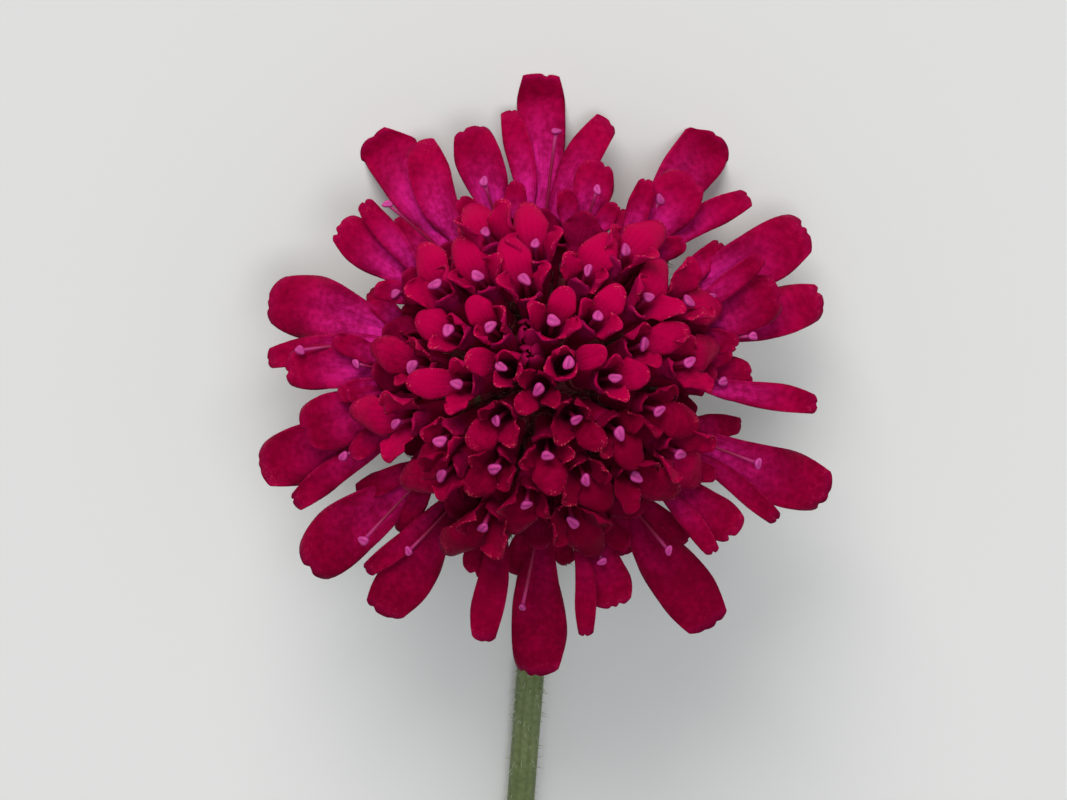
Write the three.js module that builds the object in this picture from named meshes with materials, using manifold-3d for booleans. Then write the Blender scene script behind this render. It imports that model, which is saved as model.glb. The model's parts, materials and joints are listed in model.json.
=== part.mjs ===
// A red-flowered Macedonian scabious: one cut bloom on its bare stalk, laid down on a flat surface.
// Millimetres, +Z up, the surface is z = 0. The stalk lies along -Y and bends up at its neck, so that
// the head looks up and leans towards +Y, with the tips of its far petals on the surface.
import * as THREE from "three";
import { LoftGeometry } from "three/addons/geometries/LoftGeometry.js";
import { mergeVertices } from "three/addons/utils/BufferGeometryUtils.js";
import Module from "manifold-3d";

const wasm = await Module();
wasm.setup();

const DEG = Math.PI / 180;
const GOLDEN_ANGLE = 137.508;
const V = (x, y, z) => new THREE.Vector3(x, y, z);

// Driving dimensions
const headTilt = 30; // degrees from upright, towards +Y
const neckTop = V(0, 37.9, 7.3); // where the stalk meets the head; the origin is under the box's middle
const gap = 0.3; // between pieces that touch
const petalThickness = 0.6;
const throatRadius = 0.85; // of a floret, at the middle of its wall
const rootRadius = 0.5;
const cupDepth = 1.2; // how far the style's foot stands down in the throat
const styleRadius = 0.34;
const stigmaRadius = 0.58;
const sideLobeTurn = 85; // of a ray floret's side lobes, round its tube from the long lobe
const sideLobeLift = 1.1; // of their tips over the long lobe's tip
const welds = [5e-4, 1e-3, 2e-3, 3e-3, 4e-3, 6e-3]; // how near points may be made one, best first

const stalkRadius = 1.0;
const stalkCutEnd = 95; // from the neck's top back to the cut, along Y
const stalkSway = 2.3; // how far the lying stalk wanders sideways

const discFloretCount = 36;
const discSpacing = 1.5; // each floret's share of the disc is a circle of this radius
const discStart = { share: 0.2, azimuth: 252 }; // where the spiral of florets begins
const domeTop = 13.2; // height of the middle floret's mouth above the head's base
const domeFall = 0.05; // how fast the dome falls off, per mm of radius squared
const discTubeLength = 4.4;

const rayTubeLength = 4.2;
const restingPress = 2.4; // how far a resting lobe is bent up by the surface
const rayTiers = [
  { mouthRadius: 8.6, mouthHeight: 4.6, tilt: 80, tipHeight: 2.2 },
  { mouthRadius: 9.0, mouthHeight: 6.0, tilt: 76, tipHeight: 5.8 },
];

// The ray florets, as seen from in front of the head: azimuth in degrees from +x, reach from the
// head's axis and width of each long lobe in mm. The sides are its two narrower neighbours, and a
// lobe that rests lies on the surface with its tip.
const rayFlorets = [
  { tier: 0, lobe: [90.4, 20.4, 3.2], sides: [[75.8, 17.7, 2.4], [97, 18.0, 1.8]], rests: true },
  { tier: 0, lobe: [53.7, 20.3, 3.8], sides: [[41.5, 18.4, 1.9], [65, 12.5, 1.8]], rests: true },
  { tier: 0, lobe: [29.5, 20.3, 3.9], sides: [[21, 14.0, 1.5], [37.5, 15.0, 1.6]], rests: false },
  { tier: 0, lobe: [15.5, 19.4, 3.2], sides: [[6, 12.5, 1.5], [22, 14.0, 1.5]], rests: false },
  { tier: 0, lobe: [-22, 20.6, 3.8], sides: [[-31, 18.2, 1.4], [-13, 13.5, 1.5]], rests: false },
  { tier: 1, lobe: [-38.5, 16.3, 2.9], sides: [[-45.5, 16.0, 1.4], [-29, 13.0, 1.4]], rests: false },
  { tier: 0, lobe: [-55.7, 20.0, 3.9], sides: [[-65, 13.0, 1.6], [-48, 14.5, 1.6]], rests: false },
  { tier: 1, lobe: [-72.8, 15.7, 3.3], sides: [[-80.5, 17.2, 1.4], [-63, 12.5, 1.5]], rests: false },
  { tier: 0, lobe: [-91, 20.0, 3.7], sides: [[-100, 13.0, 1.5], [-82, 12.5, 1.5]], rests: false },
  { tier: 1, lobe: [-109, 13.7, 2.6], sides: [[-118, 12.0, 1.4], [-102.7, 17.7, 2.2]], rests: false },
  { tier: 0, lobe: [-124.3, 19.3, 3.6], sides: [[-132.5, 17.4, 1.4], [-114, 12.5, 1.5]], rests: false },
  { tier: 0, lobe: [-141.7, 20.2, 4.1], sides: [[-148.5, 14.5, 1.6], [-133, 14.0, 1.4]], rests: false },
  { tier: 0, lobe: [-163, 19.8, 3.9], sides: [[-171, 14.0, 1.8], [-153.5, 18.5, 1.8]], rests: false },
  { tier: 1, lobe: [-168.5, 16.4, 3.8], sides: [[-176, 13.0, 1.5], [-158, 13.5, 1.6]], rests: false },
  { tier: 1, lobe: [177.5, 17.0, 3.0], sides: [[169, 14.0, 1.5], [185, 13.5, 1.5]], rests: false },
  { tier: 0, lobe: [163.2, 19.2, 4.3], sides: [[153, 13.0, 1.6], [176, 18.3, 1.9]], rests: false },
  { tier: 1, lobe: [143, 16.9, 2.9], sides: [[135.3, 16.6, 1.6], [152, 12.5, 1.5]], rests: false },
  { tier: 0, lobe: [126.3, 20.1, 3.7], sides: [[117.5, 18.0, 2.8], [134, 14.5, 1.6]], rests: true },
  { tier: 1, lobe: [106.2, 17.3, 3.1], sides: [[97, 13.0, 1.5], [115, 13.0, 1.5]], rests: false },
  { tier: 1, lobe: [75, 14.8, 2.7], sides: [[67, 12.5, 1.3], [84, 12.5, 1.4]], rests: false },
  { tier: 1, lobe: [54, 16.7, 3.6], sides: [[44, 13.0, 1.6], [62.5, 14.8, 1.6]], rests: false },
  { tier: 1, lobe: [20, 16.6, 3.6], sides: [[10, 13.0, 1.6], [29.5, 16.5, 1.5]], rests: false },
  { tier: 1, lobe: [1, 13.9, 2.4], sides: [[-5.6, 18.2, 1.8], [9, 12.5, 1.5]], rests: false },
];

// The bracts: azimuths of the outer row, with the inner row between them
const outerBractAzimuths = [0, 43, 96, 143, 188, 233, 278, 322];
const innerBractTurn = 22.5;

const stalkGreen = new THREE.MeshStandardMaterial({ color: 0x7d8f4e, roughness: 0.7, metalness: 0 });
const bractGreen = new THREE.MeshStandardMaterial({ color: 0x6f8a4a, roughness: 0.75, metalness: 0 });
const petalCrimson = new THREE.MeshStandardMaterial({ color: 0xb0063c, roughness: 0.6, metalness: 0 });

// The head's own frame: its axis is z, its base is the origin, and it leans by headTilt
const headFrame = new THREE.Group();
headFrame.position.copy(neckTop);
headFrame.rotation.x = -headTilt * DEG;
const worldUpInHead = V(0, -Math.sin(headTilt * DEG), Math.cos(headTilt * DEG));
const heightOverSurface = (p) => neckTop.z + p.dot(worldUpInHead);

// Points on a cylinder round the head's axis
const polar = (azimuth, radius, height) =>
  V(radius * Math.cos(azimuth * DEG), radius * Math.sin(azimuth * DEG), height);

// A closed skin, gathered point by point
class Skin {
  points = [];
  faces = [];

  point(p) {
    this.points.push(p.x, p.y, p.z);
    return this.points.length / 3 - 1;
  }

  face(...corners) {
    for (let k = 2; k < corners.length; k++) {
      this.faces.push(corners[0], corners[k - 1], corners[k]);
    }
  }

  // The band between two rings of points
  ring(lower, upper) {
    lower.forEach((_, k) => {
      const next = (k + 1) % lower.length;
      this.face(lower[k], lower[next], upper[next], upper[k]);
    });
  }

  // The faces of a blade, given its rows of three points on the upper and on the lower side. Both sides
  // are split into triangles alike. The blade is left open at its base.
  blade(upper, lower) {
    for (let k = 1; k < upper.length; k++) {
      for (const u of [0, 1]) {
        this.face(upper[k - 1][u], upper[k][u], upper[k][u + 1], upper[k - 1][u + 1]);
        this.face(lower[k - 1][u], lower[k - 1][u + 1], lower[k][u + 1], lower[k][u]);
      }
      this.face(lower[k - 1][0], lower[k][0], upper[k][0], upper[k - 1][0]);
      this.face(upper[k - 1][2], upper[k][2], lower[k][2], lower[k - 1][2]);
    }
    const tipUpper = upper.at(-1);
    const tipLower = lower.at(-1);
    for (const u of [0, 1]) {
      this.face(tipLower[u], tipLower[u + 1], tipUpper[u + 1], tipUpper[u]);
    }
  }

  geometry() {
    const g = new THREE.BufferGeometry();
    g.setAttribute("position", new THREE.Float32BufferAttribute(this.points, 3));
    g.setIndex(this.faces);
    return g;
  }
}

// A lobe's middle line is a quadratic curve from its base to its tip. A row across it is given by v,
// how far along it lies, and w, its share of the full half width.
const lobeRows = {
  long: [[0.4, 0.72], [0.8, 1.0], [1.0, 0.6]],
  side: [[0.55, 0.85], [1.0, 0.6]],
  resting: [[0.4, 0.72], [0.84, 1.0], [1.0, 0.6]],
  paddle: [[0.35, 0.85], [0.75, 1.0], [1.0, 0.55]],
  wing: [[0.5, 0.9], [1.0, 0.6]],
  inner: [[0.9, 0.75]],
};

// Adds one lobe to a floret's skin, from its three points on the throat to its tip
function addLobe(skin, lobe, throatInside, throatOutside) {
  const { base, control, tip, baseSide, tipSide, halfWidth, cup, rows, rests } = lobe;
  const upper = [throatInside];
  const lower = [throatOutside];
  const curve = new THREE.QuadraticBezierCurve3(base, control, tip);
  for (const [v, w] of rows) {
    const along = curve.getTangent(v);
    const across = baseSide.clone().lerp(tipSide, Math.min(1, 1.7 * v));
    across.addScaledVector(along, -across.dot(along)).normalize();
    const up = along.clone().cross(across);
    const isTip = v === 1;
    const upperRow = [];
    const lowerRow = [];
    for (const u of [-1, 0, 1]) {
      const p = curve.getPoint(v).addScaledVector(across, u * w * halfWidth);
      p.addScaledVector(up, cup * halfWidth * u * u * v);
      if (isTip && u !== 0) p.addScaledVector(along, -0.3 * halfWidth);
      const top = p.clone().addScaledVector(up, petalThickness / 2);
      const bottom = p.clone().addScaledVector(up, -petalThickness / 2);
      if (rests && heightOverSurface(bottom) < 0) {
        bottom.addScaledVector(worldUpInHead, -heightOverSurface(bottom));
        top.copy(bottom).addScaledVector(worldUpInHead, petalThickness);
      }
      upperRow.push(skin.point(top));
      lowerRow.push(skin.point(bottom));
    }
    upper.push(upperRow);
    lower.push(lowerRow);
  }
  skin.blade(upper, lower);
}

// One floret as one closed skin: a tube from its root, four lobes round its throat, and a style that
// stands up out of the throat with its stigma. outward is the side of the largest lobe.
function floret({ mouth, axis, outward, tubeLength, lobes, style }) {
  const skin = new Skin();
  const sideways = axis.clone().cross(outward);
  const direction = (turn) =>
    outward.clone().multiplyScalar(Math.cos(turn * DEG)).addScaledVector(sideways, Math.sin(turn * DEG));
  const ringPoint = (turn, radius, height) =>
    mouth.clone().addScaledVector(axis, height).addScaledVector(direction(turn), radius);
  const ring = (turns, radius, height) => turns.map((turn) => skin.point(ringPoint(turn, radius, height)));

  const middles = lobes.map((lobe) => lobe.turn);
  const notches = middles.map((turn, k) => (turn + (middles[k + 1] ?? middles[0] + 360)) / 2);
  const inside = throatRadius - petalThickness / 2;
  const outside = throatRadius + petalThickness / 2;
  const insideMiddles = ring(middles, inside, 0);
  const insideNotches = ring(notches, inside, -0.2);
  const outsideMiddles = ring(middles, outside, 0);
  const outsideNotches = ring(notches, outside, -0.2);
  const root = ring(middles, rootRadius, -tubeLength);
  const cupFloor = ring(middles, styleRadius, -cupDepth);

  lobes.forEach((lobe, k) => {
    const before = (k + lobes.length - 1) % lobes.length;
    const after = (k + 1) % lobes.length;
    const away = direction(lobe.turn);
    const base = ringPoint(lobe.turn, throatRadius, 0);
    const { tip, length } = lobe.reachFrom(base, away, axis);
    addLobe(
      skin,
      {
        ...lobe,
        base,
        tip,
        control: base.clone().addScaledVector(axis, lobe.rise * length),
        baseSide: axis.clone().cross(away),
        tipSide: lobe.tipSide ?? axis.clone().cross(away),
      },
      [insideNotches[before], insideMiddles[k], insideNotches[k]],
      [outsideNotches[before], outsideMiddles[k], outsideNotches[k]],
    );
    skin.face(root[k], outsideNotches[k], outsideMiddles[k]);
    skin.face(root[k], root[after], outsideNotches[k]);
    skin.face(root[after], outsideMiddles[after], outsideNotches[k]);
    skin.face(cupFloor[k], insideMiddles[k], insideNotches[k]);
    skin.face(cupFloor[k], insideNotches[k], cupFloor[after]);
    skin.face(cupFloor[after], insideNotches[k], insideMiddles[after]);
  });
  skin.face(...root.toReversed());

  const lean = outward.clone().multiplyScalar(style.lean * style.height);
  const stigma = middles.map((turn) =>
    skin.point(ringPoint(turn, stigmaRadius, style.height).add(lean)),
  );
  skin.ring(cupFloor, stigma);
  skin.face(...stigma);
  return skin.geometry();
}

// A lobe of a disc floret leans out from its tube by an angle
const leaning = (length, lean) => (base, away, axis) => ({
  length,
  tip: base
    .clone()
    .addScaledVector(away, length * Math.sin(lean * DEG))
    .addScaledVector(axis, length * Math.cos(lean * DEG)),
});

// A lobe of a ray floret reaches a point seen in front of the head
const reaching = (target) => (base) => ({ length: base.distanceTo(target), tip: target });

// Where the tip of a lobe that rests would hang if the surface weren't there
function pressedTip(azimuth, reach) {
  const tip = polar(azimuth, reach, 0);
  tip.z = -heightOverSurface(tip) / worldUpInHead.z;
  return tip.addScaledVector(worldUpInHead, -restingPress);
}

function discFloret(k) {
  const radius = discSpacing * Math.sqrt(k + discStart.share);
  const azimuth = discStart.azimuth + k * GOLDEN_ANGLE;
  const openness = radius / 10;
  const tilt = 6 * radius;
  const radial = polar(azimuth, 1, 0);
  const axis = radial.clone().multiplyScalar(Math.sin(tilt * DEG)).setZ(Math.cos(tilt * DEG));
  const outward = radial.clone().multiplyScalar(Math.cos(tilt * DEG)).setZ(-Math.sin(tilt * DEG));
  const wing = {
    rise: 0.5,
    cup: 0.25,
    halfWidth: 0.9 + 0.1 * openness,
    rows: lobeRows.wing,
    reachFrom: leaning(2.2 + 0.3 * openness, 15 + 0.6 * radius),
  };
  const paddle = {
    turn: 0,
    rise: 0.45,
    cup: 0.2,
    halfWidth: 1.0 + 0.26 * openness,
    rows: lobeRows.paddle,
    reachFrom: leaning(2.8 + 0.6 * openness, 20 + 4.4 * radius),
  };
  const inner = { ...wing, turn: 180, rows: lobeRows.inner, reachFrom: leaning(1.2, 8) };
  return floret({
    mouth: polar(azimuth, radius, domeTop - domeFall * radius * radius),
    axis,
    outward,
    tubeLength: discTubeLength,
    lobes: [{ ...wing, turn: -82 }, paddle, { ...wing, turn: 82 }, inner],
    style: { height: 1.5 + 0.4 * openness, lean: 0.1 },
  });
}

function rayFloret({ tier, lobe, sides, rests }) {
  const { mouthRadius, mouthHeight, tilt, tipHeight } = rayTiers[tier];
  const [azimuth, reach, width] = lobe;
  const radial = polar(azimuth, 1, 0);
  const axis = radial.clone().multiplyScalar(Math.sin(tilt * DEG)).setZ(Math.cos(tilt * DEG));
  const outward = radial.clone().multiplyScalar(Math.cos(tilt * DEG)).setZ(-Math.sin(tilt * DEG));
  const longLobe = {
    turn: 0,
    rise: 0.4,
    cup: -0.12,
    halfWidth: width / 2,
    rows: rests ? lobeRows.resting : lobeRows.long,
    reachFrom: reaching(rests ? pressedTip(azimuth, reach) : polar(azimuth, reach, tipHeight)),
    tipSide: rests ? worldUpInHead.clone().cross(radial).normalize() : polar(azimuth + 90, 1, 0),
    rests,
  };
  const sideLobe = ([sideAzimuth, sideReach, sideWidth], turn) => ({
    turn,
    rise: 0.4,
    cup: 0.15,
    halfWidth: sideWidth / 2,
    rows: lobeRows.side,
    reachFrom: reaching(polar(sideAzimuth, sideReach, tipHeight + sideLobeLift)),
    tipSide: polar(sideAzimuth + 90, 1, 0),
  });
  const inner = {
    turn: 180,
    rise: 0.4,
    cup: 0.2,
    halfWidth: 0.9,
    rows: lobeRows.inner,
    reachFrom: leaning(1.7, 10),
  };
  return floret({
    mouth: polar(azimuth, mouthRadius, mouthHeight),
    axis,
    outward,
    tubeLength: rayTubeLength,
    lobes: [sideLobe(sides[0], -sideLobeTurn), longLobe, sideLobe(sides[1], sideLobeTurn), inner],
    style: { height: 1.8, lean: -0.1 },
  });
}

// The core that the florets grow from, as a profile round the head's axis
function core() {
  const profile = [
    [0, 1.5], [3.2, 1.5], [5.4, 2.8], [6.4, 4.4], [6.5, 6.2], [5.6, 7.8], [3.4, 9.1], [0, 9.7],
  ];
  const geometry = new THREE.LatheGeometry(profile.map(([r, z]) => new THREE.Vector2(r, z)), 12);
  return geometry.rotateX(90 * DEG);
}

// A closed geometry as a solid, with the points that lie together made one
function solidOf(geometry, nearness) {
  const bare = geometry.clone().deleteAttribute("normal").deleteAttribute("uv");
  const merged = mergeVertices(bare, nearness);
  return new wasm.Manifold(
    new wasm.Mesh({
      numProp: 3,
      vertProperties: merged.attributes.position.array,
      triVerts: new Uint32Array(merged.index.array),
    }),
  );
}

// The largest body of a solid, without loose scraps and the surface of any sealed hollow
function largestBody(solid) {
  const bodies = solid.decompose().sort((a, b) => b.volume() - a.volume());
  const mesh = bodies[0].getMesh();
  const geometry = new THREE.BufferGeometry();
  geometry.setAttribute("position", new THREE.Float32BufferAttribute(mesh.vertProperties, 3));
  return geometry.setIndex([...mesh.triVerts]);
}

// Whether more than two faces meet at some edge, once points that are very near are one
function isPinched(geometry, nearness = 1e-3) {
  const { index } = mergeVertices(geometry, nearness);
  const faceCounts = new Map();
  for (let corner = 0; corner < index.count; corner++) {
    const next = corner % 3 === 2 ? corner - 2 : corner + 1;
    const ends = [index.getX(corner), index.getX(next)].sort((a, b) => a - b).join();
    faceCounts.set(ends, (faceCounts.get(ends) ?? 0) + 1);
  }
  return [...faceCounts.values()].some((count) => count > 2);
}

// Joins closed geometries into one body, welded just far enough that no edge is pinched
function fused(geometries) {
  const whole = geometries
    .map((geometry) => solidOf(geometry, welds[0]))
    .reduce((joined, solid) => joined.add(solid));
  const body = largestBody(whole);
  const welded = welds.map((weld) => largestBody(solidOf(body, weld)));
  return welded.find((geometry) => !isPinched(geometry)) ?? body;
}

// The stalk: an eight-sided tube, flat side down, straight along the surface and then up the neck
function stalk() {
  const neckRise = neckTop.z - stalkRadius;
  const neckAngle = 90 - headTilt;
  const neckBend = neckRise / (1 - Math.cos(neckAngle * DEG));
  const neckStart = neckBend * Math.sin(neckAngle * DEG);
  const straight = stalkCutEnd - neckStart;
  const sides = 8;
  const straightSteps = 22;
  const neckSteps = 10;
  const section = (y, z, slope, x) => {
    const points = [];
    for (let k = 0; k < sides; k++) {
      const angle = ((k + 0.5) * 2 * Math.PI) / sides;
      const radius = stalkRadius / Math.cos(Math.PI / sides);
      const height = radius * Math.sin(angle);
      const p = V(radius * Math.cos(angle), -height * Math.sin(slope), height * Math.cos(slope));
      points.push(p.add(V(x, y, z)));
    }
    return points;
  };
  const sway = (y) => -stalkSway * Math.sin((Math.PI * Math.max(0, -y - 5)) / (stalkCutEnd + 15)) ** 2;
  const sections = [];
  for (let k = 0; k < straightSteps; k++) {
    const y = -stalkCutEnd + (straight * k) / straightSteps;
    sections.push(section(y, stalkRadius, 0, sway(y)));
  }
  for (let k = 0; k <= neckSteps; k++) {
    const angle = (neckAngle * DEG * k) / neckSteps;
    const y = -neckStart + neckBend * Math.sin(angle);
    const z = stalkRadius + neckBend * (1 - Math.cos(angle));
    sections.push(section(y, z, angle, sway(y)));
  }
  const geometry = new LoftGeometry(sections.toReversed(), { capStart: true, capEnd: true });
  return geometry.translate(neckTop.x, neckTop.y, 0);
}

// A bract: a narrow pointed blade from the cup out to its tip
function bract(azimuth, root, tip, width, rise) {
  const skin = new Skin();
  const radial = polar(azimuth, 1, 0);
  const across = polar(azimuth + 90, 1, 0);
  const curve = new THREE.QuadraticBezierCurve3(
    polar(azimuth, root[0], root[1]),
    polar(azimuth, (root[0] + tip[0]) / 2, (root[1] + tip[1]) / 2 + rise),
    polar(azimuth, tip[0], tip[1]),
  );
  const rows = [[0, 0.7], [0.35, 1], [0.7, 0.7], [1, 0.16]];
  const upper = [];
  const lower = [];
  for (const [v, w] of rows) {
    const along = curve.getTangent(v);
    const up = along.clone().cross(across);
    const place = (u, side) =>
      skin.point(
        curve
          .getPoint(v)
          .addScaledVector(across, (u * w * width) / 2)
          .addScaledVector(up, side * petalThickness * 0.5 + 0.12 * width * u * u * v),
      );
    upper.push([-1, 0, 1].map((u) => place(u, 1)));
    lower.push([-1, 0, 1].map((u) => place(u, -1)));
  }
  skin.blade(upper, lower);
  for (const u of [0, 1]) {
    skin.face(upper[0][u], upper[0][u + 1], lower[0][u + 1], lower[0][u]);
  }
  return skin.geometry();
}

// The receptacle's green cup and its two rows of bracts
function involucre() {
  const profile = [[0, gap], [1.4, gap], [2.6, 0.55], [3.3, 0.9], [3.3, 1.2], [0, 1.2]];
  const cup = new THREE.LatheGeometry(profile.map(([r, z]) => new THREE.Vector2(r, z)), 16);
  const outer = outerBractAzimuths.map((azimuth, k) =>
    bract(azimuth, [2.2, 0.85], [12.6 - 0.5 * (k % 3), 1.4], 2.8, -0.3),
  );
  const inner = outerBractAzimuths.map((azimuth, k) =>
    bract(azimuth + innerBractTurn, [2.2, 0.95], [10.4 + 0.5 * (k % 2), 2.2], 2.2, -0.2),
  );
  return fused([cup.rotateX(90 * DEG), ...outer, ...inner]);
}

function flowerHead() {
  const disc = Array.from({ length: discFloretCount }, (_, k) => discFloret(k));
  const rays = rayFlorets.map(rayFloret);
  return fused([core(), ...disc, ...rays]);
}

function named(name, geometry, material) {
  const mesh = new THREE.Mesh(geometry, material);
  mesh.name = name;
  return mesh;
}

headFrame.add(
  named("involucre", involucre(), bractGreen),
  named("flower_head", flowerHead(), petalCrimson),
);

const flower = new THREE.Group();
flower.add(named("stem", stalk(), stalkGreen), headFrame);

export default flower;
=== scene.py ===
# %% [markdown]
# A cut bloom of a red-flowered Macedonian scabious, laid down on a pale table. This lesson grows it
# piece by piece round the measured solids: the table and the camera first, then the small florets of
# the dome, the long florets of the rim, their pink styles, the green bracts and the stalk. A flower is
# a few simple leaf-like forms repeated by a rule, so most cells build one form and then repeat it.

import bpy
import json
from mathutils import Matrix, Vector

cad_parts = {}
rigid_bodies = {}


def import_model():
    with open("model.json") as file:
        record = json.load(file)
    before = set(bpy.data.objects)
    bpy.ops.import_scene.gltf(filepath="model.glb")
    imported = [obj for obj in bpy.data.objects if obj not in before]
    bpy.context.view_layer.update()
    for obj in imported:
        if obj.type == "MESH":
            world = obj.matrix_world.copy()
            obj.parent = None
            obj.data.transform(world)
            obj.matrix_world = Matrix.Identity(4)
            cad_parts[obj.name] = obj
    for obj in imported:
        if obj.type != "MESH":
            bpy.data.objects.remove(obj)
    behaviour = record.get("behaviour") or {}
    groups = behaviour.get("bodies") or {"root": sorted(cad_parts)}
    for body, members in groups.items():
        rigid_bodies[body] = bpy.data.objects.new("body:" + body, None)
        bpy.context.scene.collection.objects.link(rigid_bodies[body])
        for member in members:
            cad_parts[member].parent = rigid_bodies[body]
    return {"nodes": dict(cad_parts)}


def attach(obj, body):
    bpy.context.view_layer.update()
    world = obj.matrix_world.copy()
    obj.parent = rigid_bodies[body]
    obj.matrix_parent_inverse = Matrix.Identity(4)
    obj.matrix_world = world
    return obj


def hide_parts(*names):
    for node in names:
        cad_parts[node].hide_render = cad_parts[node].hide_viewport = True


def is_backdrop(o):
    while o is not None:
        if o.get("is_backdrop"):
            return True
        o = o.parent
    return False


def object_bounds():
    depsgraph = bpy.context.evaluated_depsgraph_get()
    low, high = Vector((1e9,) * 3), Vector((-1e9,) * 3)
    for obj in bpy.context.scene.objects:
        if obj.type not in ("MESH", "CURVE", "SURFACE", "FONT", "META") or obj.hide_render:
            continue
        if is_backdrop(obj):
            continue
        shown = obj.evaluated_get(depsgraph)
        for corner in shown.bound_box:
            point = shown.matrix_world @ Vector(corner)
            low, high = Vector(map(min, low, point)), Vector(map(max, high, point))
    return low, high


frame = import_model()
cad_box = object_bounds()
print("solids:", ", ".join(sorted(frame["nodes"])))

# %% [markdown]
# Thousands of points are needed, so whole grids of them are worked out at once with numpy. All chance
# comes from one seeded generator, and the flower grows the same way each time the lesson runs. Nearly
# every form below is made of the same few parts: a smooth rise, a curve that is pulled to one side, and
# a direction turned towards another.

# %% Vectors and chance
import json
import math

import bpy
import numpy as np
from mathutils import Matrix, Vector

MM = 0.001  # Blender's unit is the metre, and the sizes below are in millimetres
chance = np.random.default_rng(11)


def unit(v):
    """The vector, or each vector of a grid, at length 1."""
    return v / np.linalg.norm(v, axis=-1, keepdims=True)


def ease(x):
    """0 below 0, 1 above 1, and a smooth rise between."""
    x = np.clip(x, 0, 1)
    return x * x * (3 - 2 * x)


def late(x, start):
    """0 up to the start, and a smooth rise from there to 1."""
    return ease((x - start) / (1 - start))


def curve(t, start, control, end):
    """A line from start to end that is pulled towards its control point on the way."""
    return (1 - t) ** 2 * start + 2 * t * (1 - t) * control + t**2 * end


def turned(angle, first, second):
    """The first of two directions, turned by an angle towards the second."""
    return np.cos(angle) * first + np.sin(angle) * second


def square_pair(direction, guide):
    """Two directions that stand square to this one and to each other."""
    first = unit(np.cross(direction, guide))
    return first, np.cross(direction, first)


print("a smooth rise:", ease(np.linspace(0, 1, 5)).round(2))

# %% [markdown]
# The head leans 30 degrees towards +Y on its bent neck. Everything in it is easier to write in its own
# frame, where z is the head's axis and y is the top of the photograph. One function brings points from
# that frame to the table's frame.

# %% The head's own frame
head_tilt = math.radians(30)
neck_top = np.array([0.0, 37.9, 7.3])  # in the table's frame
head_x = np.array([1.0, 0.0, 0.0])
head_y = np.array([0.0, math.cos(head_tilt), -math.sin(head_tilt)])
head_z = np.array([0.0, math.sin(head_tilt), math.cos(head_tilt)])
table_up = np.array([0.0, -math.sin(head_tilt), math.cos(head_tilt)])  # written in the head's frame
head_up = np.array([0.0, 0.0, 1.0])  # the head's axis in its own frame


def on_table(points):
    """Points of the head's frame, in the table's frame."""
    x, y, z = np.moveaxis(np.asarray(points, float), -1, 0)
    return neck_top + x[..., None] * head_x + y[..., None] * head_y + z[..., None] * head_z


def polar(azimuth, radius, height):
    """A point round the head's axis, with its azimuth in degrees from the right of the photograph."""
    angle = math.radians(azimuth)
    return np.array([radius * math.cos(angle), radius * math.sin(angle), height])


print("the head stands on", neck_top, "mm, with its axis along", head_z.round(3))

# %% [markdown]
# The photograph looks straight down the head's axis, with the stalk running out at the bottom. The
# camera sits on that axis, a good way off behind a long lens, so that the flower isn't distorted. The
# head's middle isn't quite the picture's middle, so the camera slides over by those few pixels.

# %% Camera
picture_size = (1067, 800)
head_middle_pixel = (543, 379)
mm_per_pixel = 0.0663
scale_height = 4.0  # height in the head at which that scale holds
lens = 150.0
sensor = 36.0

camera_data = bpy.data.cameras.new("camera")
camera_data.lens = lens
camera_data.sensor_width = sensor
camera_data.clip_start = 0.01
camera_data.clip_end = 20
camera = bpy.data.objects.new("camera", camera_data)
bpy.context.scene.collection.objects.link(camera)
bpy.context.scene.camera = camera

view_width = picture_size[0] * mm_per_pixel
distance = view_width * lens / sensor
slide_x = (picture_size[0] / 2 - head_middle_pixel[0]) * mm_per_pixel
slide_y = (head_middle_pixel[1] - picture_size[1] / 2) * mm_per_pixel
aim = on_table([slide_x, slide_y, scale_height])
place = (aim + distance * head_z) * MM
camera_axes = np.stack([head_x, head_y, head_z], 1)
camera.matrix_world = Matrix.Translation(place) @ Matrix(camera_axes.tolist()).to_4x4()
print("camera", round(distance), "mm from the bloom, view", round(view_width, 1), "mm wide")

# %% [markdown]
# The table is a plain pale sheet, large enough to reach the horizon of a low view. Its material shows
# how every material here starts: a Principled shader, with each constant set on its own socket.

# %% Table
table_reach = 4.0  # metres from the flower to each edge


def principled(name, **values):
    """A new material, its tree of nodes, and its shader with these constants."""
    material = bpy.data.materials.new(name)
    material.use_nodes = True
    shader = material.node_tree.nodes["Principled BSDF"]
    for socket, value in values.items():
        shader.inputs[socket.replace("_", " ")].default_value = value
    return material, material.node_tree, shader


table_material, _, _ = principled("pale_table", Base_Color=(0.78, 0.78, 0.76, 1), Roughness=0.8)
table_mesh = bpy.data.meshes.new("table")
corners = [(x * table_reach, y * table_reach, 0) for x, y in ((-1, -1), (1, -1), (1, 1), (-1, 1))]
table_mesh.from_pydata(corners, [], [(0, 1, 2, 3)])
table_mesh.materials.append(table_material)
table = bpy.data.objects.new("table", table_mesh)
bpy.context.scene.collection.objects.link(table)
table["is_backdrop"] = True
print("table", 2 * table_reach, "m wide")

# %% [markdown]
# The light is that of a bright overcast day. Lamps could stand near the flower, but they would light a
# large table unevenly, so two wide soft suns shine instead: one from the top of the photograph, and a
# weaker one nearly along the head's axis that reaches into the gaps between the florets. A pale sky does
# the rest. Standard colour keeps a saturated crimson as it is, where a filmic curve would turn it pink.

# %% Light
sun_spread = math.radians(34)
sun_white = (1.0, 0.98, 0.95)
sky_white = (0.93, 0.96, 1.0)
sky_strength = 0.32


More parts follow.
